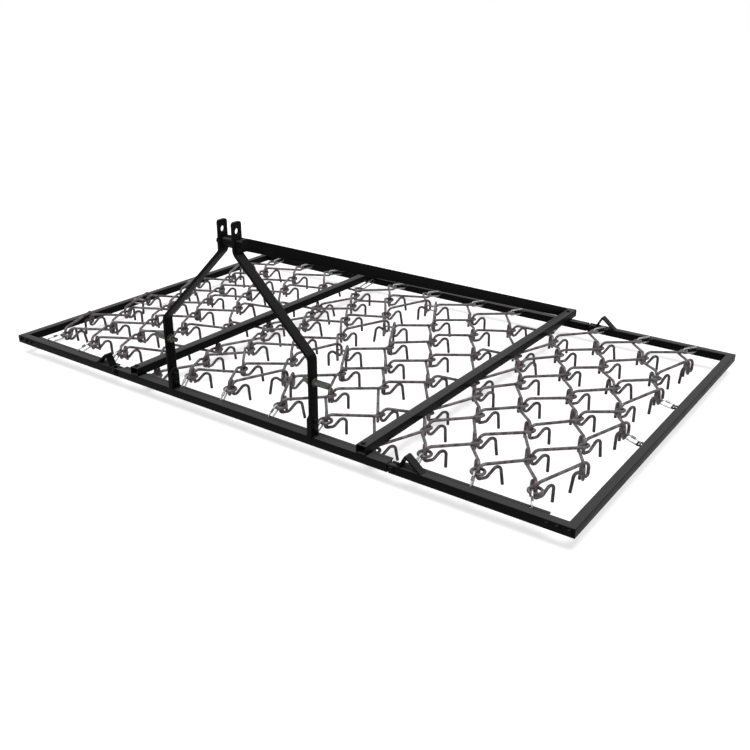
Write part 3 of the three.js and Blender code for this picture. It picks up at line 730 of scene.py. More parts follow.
def notched_strip(first, last, marks):
    """Flat strip behind a front rail: an outline along x and y with a slot at each mark, thick in z."""
    face, depth = RAIL_INNER + CLEARANCE, HANGER_Y - NOTCH_WEB
    edge = [(first, face)]
    for middle in marks:
        low, high = middle - NOTCH_HALF, middle + NOTCH_HALF
        edge += [(low, face), (low, depth), (high, depth), (high, face)]
    edge += [(last, face), (last, HANGER_Y), (first, HANGER_Y)]
    return slab(edge, 2, HANGER_TOP - HANGER_THICK, HANGER_TOP)


def bar_height(column):
    """Height of the bar that a quick link hangs on."""
    return LOW_STAPLE_Z if column == BAR_COLUMN else HANGER_LEVEL


# Finishes


def add(tree, kind, links=(), **values):
    """A node with its settings, sockets fed by values or by other sockets."""
    node = tree.nodes.new(kind)
    for key, value in values.items():
        setattr(node, key, value)
    for socket, source in dict(links).items():
        if isinstance(source, bpy.types.NodeSocket):
            tree.links.new(source, node.inputs[socket])
        else:
            node.inputs[socket].default_value = source
    return node


def mottle_group():
    """Patches and fine grain: two noises, one broad and one fine, as masks and a height."""
    if "Mottle" in bpy.data.node_groups:
        return bpy.data.node_groups["Mottle"]
    group = bpy.data.node_groups.new("Mottle", "ShaderNodeTree")
    group.interface.new_socket(name="Coordinates", in_out="INPUT", socket_type="NodeSocketVector")
    for label, value in (("Patch Scale", 40.0), ("Grain Scale", 900.0), ("Low", 0.4), ("High", 0.65)):
        socket = group.interface.new_socket(name=label, in_out="INPUT", socket_type="NodeSocketFloat")
        socket.default_value = value
    for label in ("Patches", "Grain", "Height"):
        group.interface.new_socket(name=label, in_out="OUTPUT", socket_type="NodeSocketFloat")
    given = group.nodes.new("NodeGroupInput").outputs
    out = group.nodes.new("NodeGroupOutput").inputs
    where = given["Coordinates"]
    broad, fine = (
        add(group, "ShaderNodeTexNoise", {"Vector": where, "Scale": given[scale], "Detail": detail})
        for scale, detail in (("Patch Scale", 4.0), ("Grain Scale", 2.0))
    )
    limits = {"Value": broad.outputs["Fac"], "From Min": given["Low"], "From Max": given["High"]}
    spread = add(group, "ShaderNodeMapRange", limits)
    both = {0: broad.outputs["Fac"], 1: fine.outputs["Fac"]}
    mixed = add(group, "ShaderNodeMath", both, operation="ADD")
    group.links.new(spread.outputs["Result"], out["Patches"])
    group.links.new(fine.outputs["Fac"], out["Grain"])
    group.links.new(mixed.outputs["Value"], out["Height"])
    return group


def mottled(tree, where, patch, grain, low, high):
    """The mottle group placed in a material with its own values."""
    links = {"Coordinates": where, "Patch Scale": patch, "Grain Scale": grain, "Low": low, "High": high}
    return add(tree, "ShaderNodeGroup", links, node_tree=mottle_group()).outputs


def mix(tree, factor, one, two):
    """Colour one turned into colour two by a factor."""
    return add(tree, "ShaderNodeMix", {0: factor, 6: one, 7: two}, data_type="RGBA").outputs[2]


def ranged(tree, value, low, high):
    """A mask from nought to one turned into a range."""
    limits = {"Value": value, "To Min": low, "To Max": high}
    return add(tree, "ShaderNodeMapRange", limits).outputs["Result"]


def attribute_of(tree, name):
    """A value that the piece's mesh holds at each point."""
    return add(tree, "ShaderNodeAttribute", attribute_name=name).outputs["Fac"]


def covered(tree, shader, colour, roughness, height, strength, distance=0.0002):
    """Colour, roughness and a bump of the given height into the shader."""
    bump = add(tree, "ShaderNodeBump", {"Height": height, "Strength": strength, "Distance": distance})
    tree.links.new(colour, shader.inputs["Base Color"])
    tree.links.new(roughness, shader.inputs["Roughness"])
    tree.links.new(bump.outputs["Normal"], shader.inputs["Normal"])


def paint(tree, shader, where, colours):
    """Black powder coat: fine orange peel, faint dust, painted light making upward faces a lighter grey,
    satin gloss.
    """
    mask = mottled(tree, where["Object"], patch=14.0, grain=700.0, low=0.5, high=0.8)
    dusty = mix(tree, mask["Patches"], (*colours.paint, 1), (*colours.dust, 1))
    # Painted light: faces that look up are mixed towards a lighter grey, the light from above painted into
    # the colour of the top faces.
    facing = add(tree, "ShaderNodeSeparateXYZ", {"Vector": where["Normal"]}).outputs["Z"]
    upward = add(tree, "ShaderNodeMapRange", {"Value": facing, "From Min": 0.6, "From Max": 0.97})
    colour = mix(tree, upward.outputs["Result"], dusty, (*colours.painted_top_light, 1))
    shader.inputs["Specular IOR Level"].default_value = 0.03
    rough = ranged(tree, mask["Patches"], 0.42, 0.52)
    covered(tree, shader, colour, rough, mask["Grain"], strength=0.25)


def rod_steel(tree, shader, where, colours):
    """Dark rod with mill scale: grey with brown and purple patches, and painted shade: teeth blacker
    towards their tips.
    """
    mask = mottled(tree, where["Object"], patch=55.0, grain=650.0, low=0.42, high=0.62)
    body = mix(tree, mask["Patches"], (*colours.rod, 1), (*colours.scale, 1))
    # Painted shade: towards their tips the teeth are made blacker and less metallic, standing in for the
    # shade on the hanging teeth
    tooth = attribute_of(tree, "tooth")
    colour = mix(tree, ranged(tree, tooth, 0.0, 0.9), body, (*colours.tooth, 1))
    tree.links.new(ranged(tree, tooth, 0.35, 0.1), shader.inputs["Metallic"])
    shader.inputs["Specular IOR Level"].default_value = 0.25
    rough = ranged(tree, mask["Patches"], 0.42, 0.58)
    covered(tree, shader, colour, rough, mask["Height"], strength=0.35, distance=0.0004)


def zinc(tree, shader, where, colours):
    """Bright zinc plate with soft cloudy patches, and darker sleeves."""
    mask = mottled(tree, where["Object"], patch=120.0, grain=900.0, low=0.35, high=0.7)
    cloudy = tuple(c * 0.86 for c in colours.zinc)
    cloud = mix(tree, mask["Patches"], (*colours.zinc, 1), (*cloudy, 1))
    colour = mix(tree, attribute_of(tree, "sleeve"), cloud, (*colours.sleeve, 1))
    shader.inputs["Metallic"].default_value = 0.7
    rough = ranged(tree, mask["Patches"], 0.26, 0.4)
    covered(tree, shader, colour, rough, mask["Grain"], strength=0.12)


def pin_steel(tree, shader, where, colours):
    """Grey plated pin steel with turning marks and rubbed patches."""
    mask = mottled(tree, where["Object"], patch=70.0, grain=800.0, low=0.4, high=0.66)
    rubbed = tuple(c * 0.6 for c in colours.pin)
    colour = mix(tree, mask["Patches"], (*colours.pin, 1), (*rubbed, 1))
    marks = {"Vector": where["Object"], "Scale": 300.0, "Distortion": 0.6}
    rings = add(tree, "ShaderNodeTexWave", marks, bands_direction="X").outputs["Fac"]
    shader.inputs["Metallic"].default_value = 0.85
    rough = ranged(tree, mask["Patches"], 0.32, 0.48)
    covered(tree, shader, colour, rough, rings, strength=0.08)


FINISHES = {
    "black_paint": ("Black powder coat", paint),
    "rod_steel": ("Rod steel", rod_steel),
    "zinc": ("Bright zinc", zinc),
    "pin_steel": ("Pin steel", pin_steel),
}


def finish_of(slot):
    """The material of a slot, made the first time it is asked for."""
    name, fill = FINISHES[slot]
    if name in bpy.data.materials:
        return bpy.data.materials[name]
    material = bpy.data.materials.new(name)
    material.use_nodes = True
    tree = material.node_tree
    where = add(tree, "ShaderNodeTexCoord").outputs
    fill(tree, tree.nodes["Principled BSDF"], where, bpy.context.scene.harrow_finishes)
    return material


# Settings


def length(name, description, default):
    """A length in millimetres that a user can change."""
    return FloatProperty(name=name, description=description, default=default * MM, subtype="DISTANCE")


def colour(name, description, default):
    """A colour that a user can change."""
    return FloatVectorProperty(name=name, description=description, default=default, subtype="COLOR")


class HarrowSizes(PropertyGroup):
    """Sizes that change how the pieces look"""

    rod: length("Rod diameter", "Round rod of the tine links", ROD)
    wire: length("Wire diameter", "Wire of the quick links", WIRE)
    ring: length("Ring radius", "Middle line of the rings in front of the mat", 20.0)
    tube_corner: length("Tube corner", "Outer corner radius of the rails", 2.5)
    bar_corner: length("Crossbar corner", "Outer corner radius of the crossbars", 3.8)
    sides: IntProperty(name="Rod sides", description="Faces round a rod", default=12, min=6, max=32)


class HarrowFinishes(PropertyGroup):
    """Colours of the finishes"""

    paint: colour("Paint", "Powder coat", (0.0035, 0.0035, 0.0037))
    dust: colour("Dust", "Thin dust on the paint", (0.006, 0.006, 0.0064))
    # Painted light: the lighter grey of faces that look up stands in for the light from above on the top
    # faces.
    painted_top_light: colour("Painted top light", "Grey dust on faces that look up", (0.05, 0.05, 0.051))
    rod: colour("Rod", "Bare rod", (0.15, 0.14, 0.146))
    scale: colour("Mill scale", "Darker patches on the rod", (0.07, 0.054, 0.06))
    # Painted shade: the near-black at the tips of the teeth stands in for the shade on the hanging teeth.
    tooth: colour("Teeth", "Colour at the tips of the teeth", (0.012, 0.011, 0.012))
    zinc: colour("Zinc", "Plated wire of the quick links", (0.4, 0.405, 0.4))
    sleeve: colour("Sleeves", "Screw sleeves of the quick links", (0.16, 0.155, 0.15))
    pin: colour("Pins", "Hitch pins and nuts", (0.095, 0.1, 0.092))


class HarrowStage(PropertyGroup):
    """Floor, light and camera"""

    floor: colour("Floor", "Floor colour", (0.6, 0.6, 0.6))
    world: FloatProperty(name="World", description="Strength of the even light", default=0.35)
    lamp: FloatProperty(name="Lamp", description="Strength of the soft main lamp", default=2.4)
    roll: FloatProperty(
        name="Roll", description="Turn of the camera about its own view", default=0.006, subtype="ANGLE"
    )
    lens: FloatProperty(
        name="Lens", description="Focal length for a 36 mm sensor", default=43.197, unit="CAMERA"
    )


# Operators


class HARROW_OT_rails(Operator):
    """Square tubes of the three frame sections, with the strip and the staples welded to them"""

    bl_idname = "harrow.rails"
    bl_label = "Rails"

    def execute(self, context):
        self.corner = context.scene.harrow_sizes.tube_corner / MM
        inner = [c for c in RING_COLUMNS if c < PIVOT_X]
        outer = [c for c in RING_COLUMNS if c > PIVOT_X]
        both = (-1, 1)
        marks = sorted(s * (c - LINK_SHIFT) for s in both for c in inner if c != BAR_COLUMN)
        front = [self.along_x(-CENTRE_HALF, CENTRE_HALF, 0, 1)]
        front.append(notched_strip(-CENTRE_STRIP_HALF, CENTRE_STRIP_HALF, marks))
        front += [
            staple((s * (BAR_COLUMN - LINK_SHIFT), RAIL_INNER, LOW_STAPLE_Z), (0, 1, 0), HANGER_REACH)
            for s in both
        ]
        piece("centre_front_tube", front, node="centre_front_rail")
        rear = [self.along_x(-CENTRE_HALF, CENTRE_HALF, REAR_RAIL_Y, -1)]
        rear += self.rear_staples([s * c for s in both for c in inner])
        piece("centre_rear_tube", rear, node="centre_rear_rail")
        for name, side in SIDES:
            for end, y, slant in (("front", 0, -1), ("rear", REAR_RAIL_Y, 1)):
                shells = self.wing_rail(side, y, slant)
                if end == "rear":
                    shells += self.rear_staples([side * c for c in outer])
                piece(f"{name}_wing_{end}_tube", shells, f"{name}_wing", f"{name}_wing_{end}_rail")
            piece(f"{name}_side_tube", self.side_rail(side), f"{name}_wing", f"{name}_wing_side_rail")
        return {"FINISHED"}

    def along_x(self, x0, x1, y, inward, slants=(0, 0)):
        """A rail from one x to another, grown inwards from the place of the solids' rail."""
        y += inward * RAIL_GROWN / 2
        ends = (x0, y, RAIL_MIDDLE), (x1, y, RAIL_MIDDLE)
        return tube(*ends, (0, 1, 0), RAIL_SHOWN, RAIL_SHOWN, self.corner, RAIL_WALL, slants)

    def rear_staples(self, places):
        """Staples on the front face of a rear rail, at places along x."""
        y = REAR_RAIL_Y - RAIL_INNER
        return [staple((x, y, bar_height(abs(x))), (0, -1, 0), HANGER_REACH) for x in places]

    def wing_rail(self, side, y, slant):
        """A wing's rail: mitred tube, and a channel open at the top where the hinge's tongue goes in."""
        slot_end = side * (WING_START + SLOT_LENGTH)
        outer_end = side * (WING_END - CUT_GAP)
        if side > 0:
            rail = self.along_x(slot_end, outer_end, y, -slant, (0, slant))
        else:
            rail = self.along_x(outer_end, slot_end, y, -slant, (-slant, 0))
        ring = rounded_rectangle(RAIL_SHOWN, RAIL_SHOWN, self.corner)
        top, bore, low = RAIL_SHOWN / 2, RAIL / 2 - RAIL_WALL, RAIL_WALL - RAIL_MIDDLE
        notch = np.array(((bore, top), (bore, low), (-bore, low), (-bore, top)))
        middle = -slant * RAIL_GROWN / 2
        first = CORNER_STEPS + 1
        channel = np.concatenate([ring[:first], notch - (middle, 0), ring[first:]])
        start, stop = sorted((side * WING_START, slot_end))
        return [rail, slab(channel + (y + middle, RAIL_MIDDLE), 0, start, stop)]

    def side_rail(self, side):
        """A wing's outer rail, mitred at both ends, with its two staples."""
        gap = RAIL_GROWN / 2 + CUT_GAP
        x = side * WING_END
        ends = (x, gap, RAIL_MIDDLE), (x, REAR_RAIL_Y - gap, RAIL_MIDDLE)
        slants = (side, -side)
        shells = [tube(*ends, (-1, 0, 0), RAIL_SHOWN, RAIL_SHOWN, self.corner, RAIL_WALL, slants)]
        for _, y in SIDE_LINKS:
            centre = (side * SIDE_FACE, y, HANGER_LEVEL)
            shells.append(staple(centre, (-side, 0, 0), SIDE_STAPLE_REACH))
        return shells


class HARROW_OT_crossbars(Operator):
    """Heavy tubes across the centre section, with the bolts that hold them"""

    bl_idname = "harrow.crossbars"
    bl_label = "Crossbars"

    def execute(self, context):
        corner = context.scene.harrow_sizes.bar_corner / MM
        middle = BAR_BOTTOM + BAR_HEIGHT / 2
        for name, side in SIDES:
            x = side * BAR_X
            ends = (x, BAR_FRONT, middle), (x, BAR_REAR, middle)
            shell = tube(*ends, (-1, 0, 0), BAR_WIDTH, BAR_HEIGHT, corner, BAR_WALL)
            piece(f"{name}_crossbar_tube", [shell], node=f"{name}_crossbar")
            heads = []
            for y in (0.0, REAR_RAIL_Y):
                heads += hex_head((x, y, BAR_TOP), (0, 0, 1), *FRAME_BOLT)
            piece(f"{name}_crossbar_bolts", heads)
        return {"FINISHED"}


class HARROW_OT_mast(Operator):
    """Two bent mast bars with their feet, the hitch pins, the spacer and the top bolt"""

    bl_idname = "harrow.mast"
    bl_label = "Mast"

    def execute(self, context):
        for name, side in SIDES:
            self.upright(name, side)
            self.foot(name, side)
            self.lower_pin(name, side)
        half, bore, wide = MAST_TOP_X - MAST_THICK / 2, SPACER_BORE, SPACER_RADIUS
        end, near = wide - HEAD_EDGE, half - SPACER_EDGE
        profile = [(bore, -half), (end, -half), (wide, -near), (wide, near), (end, half), (bore, half)]
        centre = (0, MAST_Y, TOP_BOLT_Z)
        piece("mast_spacer_tube", [turned(profile, centre, (1, 0, 0), sides=36)], node="mast_spacer")
        start = MAST_TOP_X + MAST_THICK / 2 + 2 * CLEARANCE + BRACE_THICK
        heads = []
        for side in (-1, 1):
            heads += hex_head((side * start, MAST_Y, TOP_BOLT_Z), (side, 0, 0), *TOP_BOLT)
        reach = start + STEM_OVERRUN
        line = [(TOP_STEM_RADIUS, -reach), (TOP_STEM_RADIUS, reach)]
        stem = turned(line, centre, (1, 0, 0), sides=24)
        piece("top_brace_bolt", [*heads, stem], node="mast_top_bolt")
        return {"FINISHED"}

    def upright(self, name, side):
        """Flat bar bent twice, with the plate round the top link hole as its upper end."""
        flat = rounded_rectangle(MAST_WIDTH, MAST_THICK, MAST_EDGE, steps=3)
        foot, top = side * MAST_FOOT_X, side * MAST_TOP_X
        corners = (
            (foot, MAST_Y, RAIL + CLEARANCE), (foot, MAST_Y, MAST_SHOULDER_Z),
            (top, MAST_Y, MAST_NECK_Z), (top, MAST_Y, TOP_PLATE_Z),
        )
        bar = sweep(filleted(corners, [MAST_BEND] * 2, step=5.0), flat, (0, 1, 0))
        piece(f"{name}_mast_upright", [bar, self.top_plate(top)], node=f"{name}_mast_bar")

    def foot(self, name, side):
        """Plate beside the bar's foot, the bolts through both, and their welds on the front rail."""
        x = side * MAST_FOOT_X
        outer = MAST_THICK / 2
        near = outer + CLEARANCE
        far = near + PLATE_THICK
        plate = np.array(PLATE_OUTLINE) + (MAST_Y, RAIL + CLEARANCE)
        shell = slab(plate, 0, *sorted((x - side * near, x - side * far)))
        bevelled(piece(f"{name}_mast_foot_plate", [shell], node=f"{name}_mast_bracket"), 0.8)
        heads = []
        for z in PLATE_BOLTS_Z:
            heads += hex_head((x - side * far, MAST_Y, z), (-side, 0, 0), *FRAME_BOLT)
            heads += hex_head((x + side * outer, MAST_Y, z), (side, 0, 0), *FRAME_BOLT)
        piece(f"{name}_mast_foot_bolts", heads)
        z = RAIL + MAST_WELD_RISE
        front, rear = MAST_WELD_ENDS
        lines = (x - side * (far + MAST_WELD_GAP), x + side * (outer + MAST_WELD_GAP))
        welded(f"{name}_mast_welds", [((line, front, z), (line, rear, z)) for line in lines])

    def lower_pin(self, name, side):
        """Turned hitch pin on the bar's outer face, and its nut on the inner one."""
        offset = side * (MAST_THICK / 2 + CLEARANCE)
        face = (side * MAST_FOOT_X + offset, MAST_Y, PIN_Z)
        pin = turned(PIN_PROFILE, face, (side, 0, 0), sides=40)
        piece(f"{name}_lower_link_pin", [pin], node=f"{name}_hitch_pin", slot="pin_steel")
        face = (side * MAST_FOOT_X - offset, MAST_Y, PIN_Z)
        nut = hex_head(face, (-side, 0, 0), *PIN_NUT)[:2]
        tail = turned(PIN_TAIL_PROFILE, face, (-side, 0, 0), sides=32)
        piece(f"{name}_lower_link_nut", [*nut, tail], node=f"{name}_hitch_nut", slot="pin_steel")

    def top_plate(self, x):
        """Plate round the top link hole: at each angle the hole's radius and the distance to the outline,
        made of the bar's sides, its cut below, its end above and the arcs at the two upper corners."""
        angle = (np.arange(MAST_COLUMNS) + 0.5) * 2 * math.pi / MAST_COLUMNS
        c, s = np.cos(angle), np.sin(angle)
        half, above = MAST_WIDTH / 2, MAST_TOP_Z - TOP_HOLE_Z
        side = half / np.abs(c)
        below = np.where(s < 0, (TOP_HOLE_Z - TOP_PLATE_Z) / np.maximum(-s, TINY), 1 / TINY)
        end = np.where(s > 0, above / np.maximum(s, TINY), 1 / TINY)
        square = np.minimum(np.minimum(side, below), end)
        cy, cz = half - MAST_CORNER, above - MAST_CORNER
        along = np.abs(c) * cy + s * cz
        arc = along + np.sqrt(np.maximum(along**2 - cy**2 - cz**2 + MAST_CORNER**2, 0))
        inside = (square * np.abs(c) > cy) & (square * s > cz)
        reach = np.where(inside, arc, square)
        thick, hole = MAST_THICK / 2, TOP_HOLE_RADIUS
        edge, lip = TOP_PLATE_EDGE, TOP_HOLE_LIP
        rings = [
            (reach - edge, -thick), (reach, edge - thick), (reach, thick - edge), (reach - edge, thick),
            (hole + lip, thick), (hole, thick - lip), (hole, lip - thick), (hole + lip, -thick),
        ]
        ones = np.ones(MAST_COLUMNS)
        columns = [
            np.stack([x + offset * ones, MAST_Y + radius * c, TOP_HOLE_Z + radius * s], 1)
            for radius, offset in rings
        ]
        points = np.stack(columns, 1).reshape(-1, 3)
        return points, grid_faces(MAST_COLUMNS, len(rings), loop=True)


class HARROW_OT_braces(Operator):
    """Flat bars from the mast's top bolt down to the rear of the crossbars"""

    bl_idname = "harrow.braces"
    bl_label = "Braces"

    def execute(self, context):
        flat = rounded_rectangle(BRACE_THICK, BRACE_HEIGHT, BRACE_EDGE, steps=3)
        tab = MAST_TOP_X + MAST_THICK / 2 + CLEARANCE + BRACE_THICK / 2
        foot_x = BAR_X - BAR_WIDTH / 2 - CLEARANCE - BRACE_THICK / 2
        start = np.array((tab, BRACE_TAB_REAR, BRACE_TAB_Z))
        end = np.array((foot_x, BRACE_END, BAR_TOP - BRACE_HEIGHT / 2))
        flank = start + (end - start) * BRACE_FLANK_SHARE
        flank[0] = foot_x
        x, z = foot_x + BRACE_THICK / 2, BAR_TOP + WELD_RISE
        for name, side in SIDES:
            mirror = np.array((side, 1, 1))
            corners = np.array(((tab, BRACE_TAB_FRONT, BRACE_TAB_Z), start, flank, end)) * mirror
            shell = sweep(filleted(corners, BRACE_BENDS, step=4.0), flat, (side, 0, 0))
            piece(f"{name}_brace_bar", [shell], node=f"{name}_brace")
            welded(f"{name}_brace_weld", [np.array([(x, y, z) for y in BRACE_WELD]) * mirror])
        return {"FINISHED"}


class HARROW_OT_hinges(Operator):
    """Stop straps with their welds, and hinge bolts"""

    bl_idname = "harrow.hinges"
    bl_label = "Hinges"

    def execute(self, context):
        base = RAIL + CLEARANCE
        top = base + STRAP_RISE
        t = STRAP_THICK
        inner, crest, outer = STRAP_INNER, STRAP_CREST, STRAP_OUTER
        steep = t * math.hypot(crest - inner, STRAP_RISE) / STRAP_RISE
        gentle = t * math.hypot(outer - crest, STRAP_RISE) / STRAP_RISE
        outline = np.array((
            (inner, base), (inner + steep, base), (crest, top - steep),
            (outer - gentle, base), (outer, base), (crest + t / 2, top), (crest - t / 2, top),
        ))
        z = base + WELD_RISE
        for name, side in SIDES:
            for end, y, inward in (("front", 0.0, 1), ("rear", REAR_RAIL_Y, -1)):
                middle = y + inward * RAIL_GROWN / 2
                shell = slab(outline * (side, 1), 1, middle - STRAP_WIDTH / 2, middle + STRAP_WIDTH / 2)
                made = piece(f"{name}_{end}_strap", [shell], f"{name}_wing", f"{name}_{end}_stop_strap")
                bevelled(made, 1.1)
                front, rear = middle - STRAP_WELD_HALF, middle + STRAP_WELD_HALF
                lines = [side * (x + STRAP_WELD_GAP) for x in (inner + steep, outer)]
                paths = [((x, front, z), (x, rear, z)) for x in lines]
                welded(f"{name}_{end}_strap_welds", paths, f"{name}_wing", radius=STRAP_WELD_RADIUS)
                self.pivot_bolt(f"{name}_{end}", np.array((side * PIVOT_X, y, HINGE_Z)), inward)
        return {"FINISHED"}

    def pivot_bolt(self, label, centre, inward):
        """A hinge bolt: a head outside the rail, one inside it, and the stem between them."""
        outer, inner = RAIL / 2 + CLEARANCE, RAIL_INNER + CLEARANCE
        stem = [(PIVOT_STEM_RADIUS, -outer - STEM_OVERRUN), (PIVOT_STEM_RADIUS, inner + STEM_OVERRUN)]
        shells = [
            *hex_head(centre - (0, inward * outer, 0), (0, -inward, 0), *PIVOT_BOLT),
            *hex_head(centre + (0, inward * inner, 0), (0, inward, 0), *PIVOT_BOLT),
            turned(stem, centre, (0, inward, 0), sides=24),
        ]
        piece(f"{label}_pivot_bolt", shells, node=f"{label}_hinge_bolt")


class HARROW_OT_hangers(Operator):
    """Notched strips behind the wings' front rails, and the bolts through the rail"""

    bl_idname = "harrow.hangers"
    bl_label = "Hanger strips"

    def execute(self, context):
        columns = [c - LINK_SHIFT for c in RING_COLUMNS if c > PIVOT_X]
        for name, side in SIDES:
            marks = sorted(side * c for c in columns)
            shell = notched_strip(*sorted((side * HANGER_FIRST, side * HANGER_LAST)), marks)
            made = piece(f"{name}_notched_strip", [shell], f"{name}_wing", f"{name}_hanger_strip")
            bevelled(made, 0.6)
            heads = []
            for x in RAIL_BOLTS_X:
                heads += hex_head((side * x, -RAIL / 2, RAIL_BOLTS_Z), (0, -1, 0), *RAIL_BOLT)
            piece(f"{name}_front_rail_bolts", heads, f"{name}_wing")
        return {"FINISHED"}


class HARROW_OT_quick_links(Operator):
    """Zinc plated wire links between the frame and the mat, and down the middle of the mat"""

    bl_idname = "harrow.quick_links"
    bl_label = "Quick links"

    def execute(self, context):
        radius = context.scene.harrow_sizes.wire / MM / 2
        ring = 2 * context.scene.harrow_sizes.ring / MM
        bar_y = REAR_RAIL_Y - RAIL_INNER - HANGER_REACH + STAPLE_LEG
        for name, side in SIDES:
            for place, column in enumerate(RING_COLUMNS, 1):
                body = body_at(column, name)
                x, y, z, _ = node_at(0, column, side)
                hung = side * (column - LINK_SHIFT), HANGER_Y - STAPLE_LEG / 2, bar_height(column)
                bar, rod = np.array(hung), np.array((x, y - ring, z))
                along = unit(rod - bar)
                ends = bar - along * LINK_OVER_BAR, rod + along * LINK_OVER_RING
                linked(f"{name}_front_link_{place}", wire_link(*ends, LINK_NARROW, radius), body)
                x, y, z, _ = node_at(ROWS, column, side)
                front = (x, y - ROD_HALF - LINK_PLAY - WIRE_HALF, z)
                rear = (side * column, bar_y + WIRE_HALF - STAPLE_BITE, bar_height(column))
                linked(f"{name}_rear_link_{place}", wire_link(rear, front, LINK_WIDE, radius), body)
            bar_x = side * (SIDE_FACE - SIDE_STAPLE_REACH + STAPLE_LEG + LINK_PLAY + WIRE_HALF)
            for row, staple_y in SIDE_LINKS:
                x, y, z, _ = node_at(row, EDGE_COLUMN, side)
                ends = (x, y, z - SIDE_LINK_DROP), (bar_x, staple_y, HANGER_LEVEL)
                linked(f"{name}_side_link_{row}", wire_link(*ends, LINK_NARROW, radius), f"{name}_wing")
        reach = CENTRE_COLUMN + ROD_HALF
        for row in range(1, ROWS + 1, 2):
            y = RING_ROW_Y + ROW_PITCH * row
            ends = (-reach, y, EYE_LEVEL), (reach, y, EYE_LEVEL)
            linked(f"centre_link_{row}", wire_link(*ends, LINK_NARROW, radius), "centre_frame")
        return {"FINISHED"}


class HARROW_OT_rings(Operator):
    """Rings of round rod between the front quick links and the first hooks"""

    bl_idname = "harrow.rings"
    bl_label = "Rings"

    def execute(self, context):
        sizes = context.scene.harrow_sizes
        radius, rod = sizes.ring / MM, sizes.rod / MM / 2
        around = np.pad(circle(radius, sides=48), ((0, 0), (0, 1)))
        for name, side in SIDES:
            for place, column in enumerate(RING_COLUMNS, 1):
                centre = np.array(node_at(0, column, side)[:3]) - (0, radius, 0)
                shell = sweep(centre + around, circle(rod, sizes.sides), (0, 0, 1), closed=True)
                label, node = f"{name}_front_ring_{place}", f"{name}_ring_{place}"
                made = piece(label, [shell], body_at(column, name), node, "rod_steel")
                # The rings have no teeth, so they get none of the painted shade of the teeth.
                marked(made, "tooth", np.zeros(len(shell[0])))
        return {"FINISHED"}


class HARROW_OT_tines(Operator):
    """Tine links of round rod, strip by strip: hooks, teeth, legs and crossing eyes"""

    bl_idname = "harrow.tines"
    bl_label = "Tine mat"

    def execute(self, context):
        self.sizes = context.scene.harrow_sizes
        self.strip("centre", 0, (-1, 1), "centre_frame")
        for name, side in SIDES:
            wing = f"{name}_wing"
            for pair in range(1, COLUMNS):
                label = f"{name}_{STRIP_NAMES[pair]}"
                if pair == FOLD_PAIR:
                    made = self.strip(label, pair, (side,), None, FOLD_ROD_STEP)
                    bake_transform(made)
                else:
                    self.strip(label, pair, (side,), wing if pair > FOLD_PAIR else "centre_frame")
        return {"FINISHED"}

    def strip(self, label, pair, sides, body, longest=ROD_STEP):
        """One pair of columns as one piece, with how close each point is to a tooth's tip, for the painted
        shade of the teeth.
        """
        rod = self.sizes.rod / MM / 2
        rods = [
            rod_shell(path, rod, self.sizes.sides, longest)
            for side in sides for path in pair_paths(pair, side)
        ]
        shells = [shell for shell, _ in rods]
        made = piece(f"{label}_tines", shells, body, f"{label}_mat_strip", "rod_steel")
        marked(made, "tooth", np.concatenate([near for _, near in rods]))
        return made


class HARROW_OT_solids(Operator):
    """Finishes on the solids that are shown as they are"""

    bl_idname = "harrow.solids"
    bl_label = "Solids"

    def execute(self, context):
        for name, _ in SIDES:
            for end in ("front", "rear"):
                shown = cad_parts[f"{name}_{end}_hinge_tongue"]
                shown.data.materials.clear()
                shown.data.materials.append(finish_of("black_paint"))
        return {"FINISHED"}


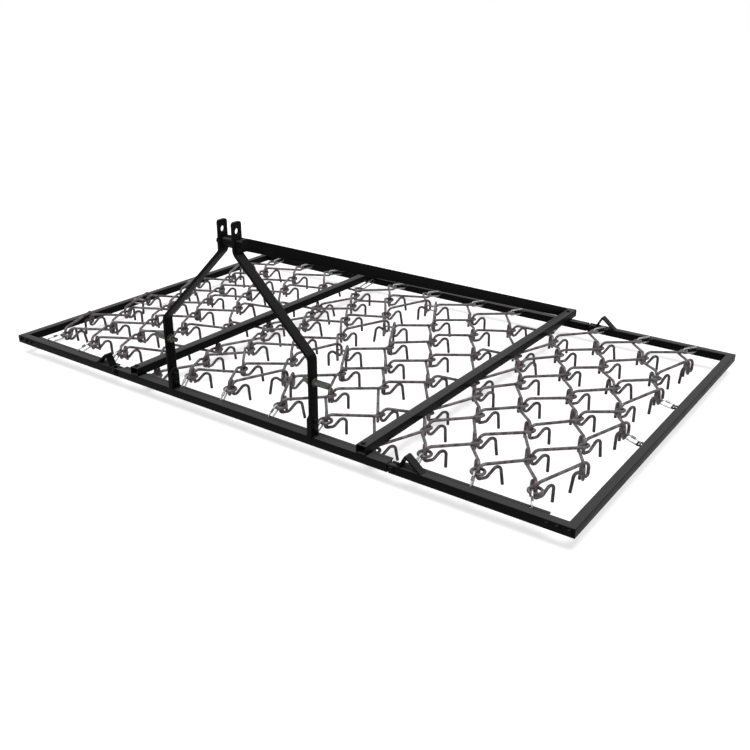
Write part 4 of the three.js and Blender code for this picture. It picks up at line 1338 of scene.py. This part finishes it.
class HARROW_OT_stage(Operator):
    """Pale floor, soft studio light and the camera"""

    bl_idname = "harrow.stage"
    bl_label = "Stage"

    def execute(self, context):
        scene, stage = context.scene, context.scene.harrow_stage
        scene.view_settings.view_transform = "Standard"
        self.lay_floor(scene, stage)
        world = bpy.data.worlds.new("Studio")
        scene.world = world
        world.use_nodes = True
        back = world.node_tree.nodes["Background"]
        back.inputs["Color"].default_value = (1, 1, 1, 1)
        strength = self.seen(world.node_tree, stage.world, 1.0)
        world.node_tree.links.new(strength, back.inputs["Strength"])

        lamp = bpy.data.lights.new("soft_key", "SUN")
        lamp.energy = stage.lamp
        lamp.angle = math.radians(35)
        key = bpy.data.objects.new("soft_key", lamp)
        key.rotation_euler = Vector(LAMP_AHEAD).to_track_quat("-Z", "Y").to_euler()
        scene.collection.objects.link(key)

        lens = bpy.data.cameras.new("camera")
        lens.lens = stage.lens
        lens.sensor_width = CAMERA_SENSOR
        lens.clip_end = 100
        camera = bpy.data.objects.new("camera", lens)
        camera.location = CAMERA_PLACE
        ahead = Vector(CAMERA_AHEAD).to_track_quat("-Z", "Y")
        camera.rotation_euler = (ahead @ Quaternion((0, 0, 1), stage.roll)).to_euler()
        scene.collection.objects.link(camera)
        scene.camera = camera
        return {"FINISHED"}

    def lay_floor(self, scene, stage):
        """Square floor just under the part, which looks paler than it lights."""
        low, reach = CAD_BOX[0][2] - FLOOR_GAP, FLOOR_REACH
        corners = [(x * reach, y * reach, low) for x, y in ((-1, -1), (1, -1), (1, 1), (-1, 1))]
        mesh = bpy.data.meshes.new("floor")
        mesh.from_pydata(corners, [], [(0, 1, 2, 3)])
        floor = bpy.data.objects.new("floor", mesh)
        scene.collection.objects.link(floor)
        material = bpy.data.materials.new("Floor")
        material.use_nodes = True
        tree = material.node_tree
        shader = tree.nodes["Principled BSDF"]
        shader.inputs["Base Color"].default_value = (*stage.floor, 1)
        shader.inputs["Roughness"].default_value = 0.9
        shader.inputs["Emission Color"].default_value = (1, 1, 1, 1)
        tree.links.new(self.seen(tree, 0.0, FLOOR_SEEN), shader.inputs["Emission Strength"])
        mesh.materials.append(material)

    @staticmethod
    def seen(tree, low, high):
        """High where a camera, glossy or transmission ray looks at the surface, and low for the rest."""
        rays = add(tree, "ShaderNodeLightPath").outputs
        looks = rays["Is Camera Ray"]
        for kind in ("Is Glossy Ray", "Is Transmission Ray"):
            both = {0: looks, 1: rays[kind]}
            looks = add(tree, "ShaderNodeMath", both, operation="MAXIMUM").outputs["Value"]
        return ranged(tree, looks, low, high)


STEPS = (
    HARROW_OT_rails, HARROW_OT_crossbars, HARROW_OT_mast, HARROW_OT_braces, HARROW_OT_hinges,
    HARROW_OT_hangers, HARROW_OT_quick_links, HARROW_OT_rings, HARROW_OT_tines, HARROW_OT_solids,
    HARROW_OT_stage,
)


class HARROW_PT_panel(Panel):
    """Settings and steps of the harrow"""

    bl_idname = "HARROW_PT_panel"
    bl_label = "Chain harrow"
    bl_space_type = "VIEW_3D"
    bl_region_type = "UI"
    bl_category = "Harrow"

    def draw(self, context):
        scene = context.scene
        for group in (scene.harrow_sizes, scene.harrow_finishes, scene.harrow_stage):
            column = self.layout.column()
            for name in group.__annotations__:
                column.prop(group, name)
        for step in STEPS:
            self.layout.operator(step.bl_idname)


CLASSES = (HarrowSizes, HarrowFinishes, HarrowStage, *STEPS, HARROW_PT_panel)


def register():
    for kind in CLASSES:
        bpy.utils.register_class(kind)
    bpy.types.Scene.harrow_sizes = PointerProperty(type=HarrowSizes)
    bpy.types.Scene.harrow_finishes = PointerProperty(type=HarrowFinishes)
    bpy.types.Scene.harrow_stage = PointerProperty(type=HarrowStage)


def unregister():
    del bpy.types.Scene.harrow_stage
    del bpy.types.Scene.harrow_finishes
    del bpy.types.Scene.harrow_sizes
    for kind in reversed(CLASSES):
        bpy.utils.unregister_class(kind)


def main():
    """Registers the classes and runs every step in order."""
    register()
    for step in STEPS:
        group, name = step.bl_idname.split(".")
        getattr(getattr(bpy.ops, group), name)()


if __name__ == "__main__":
    main()
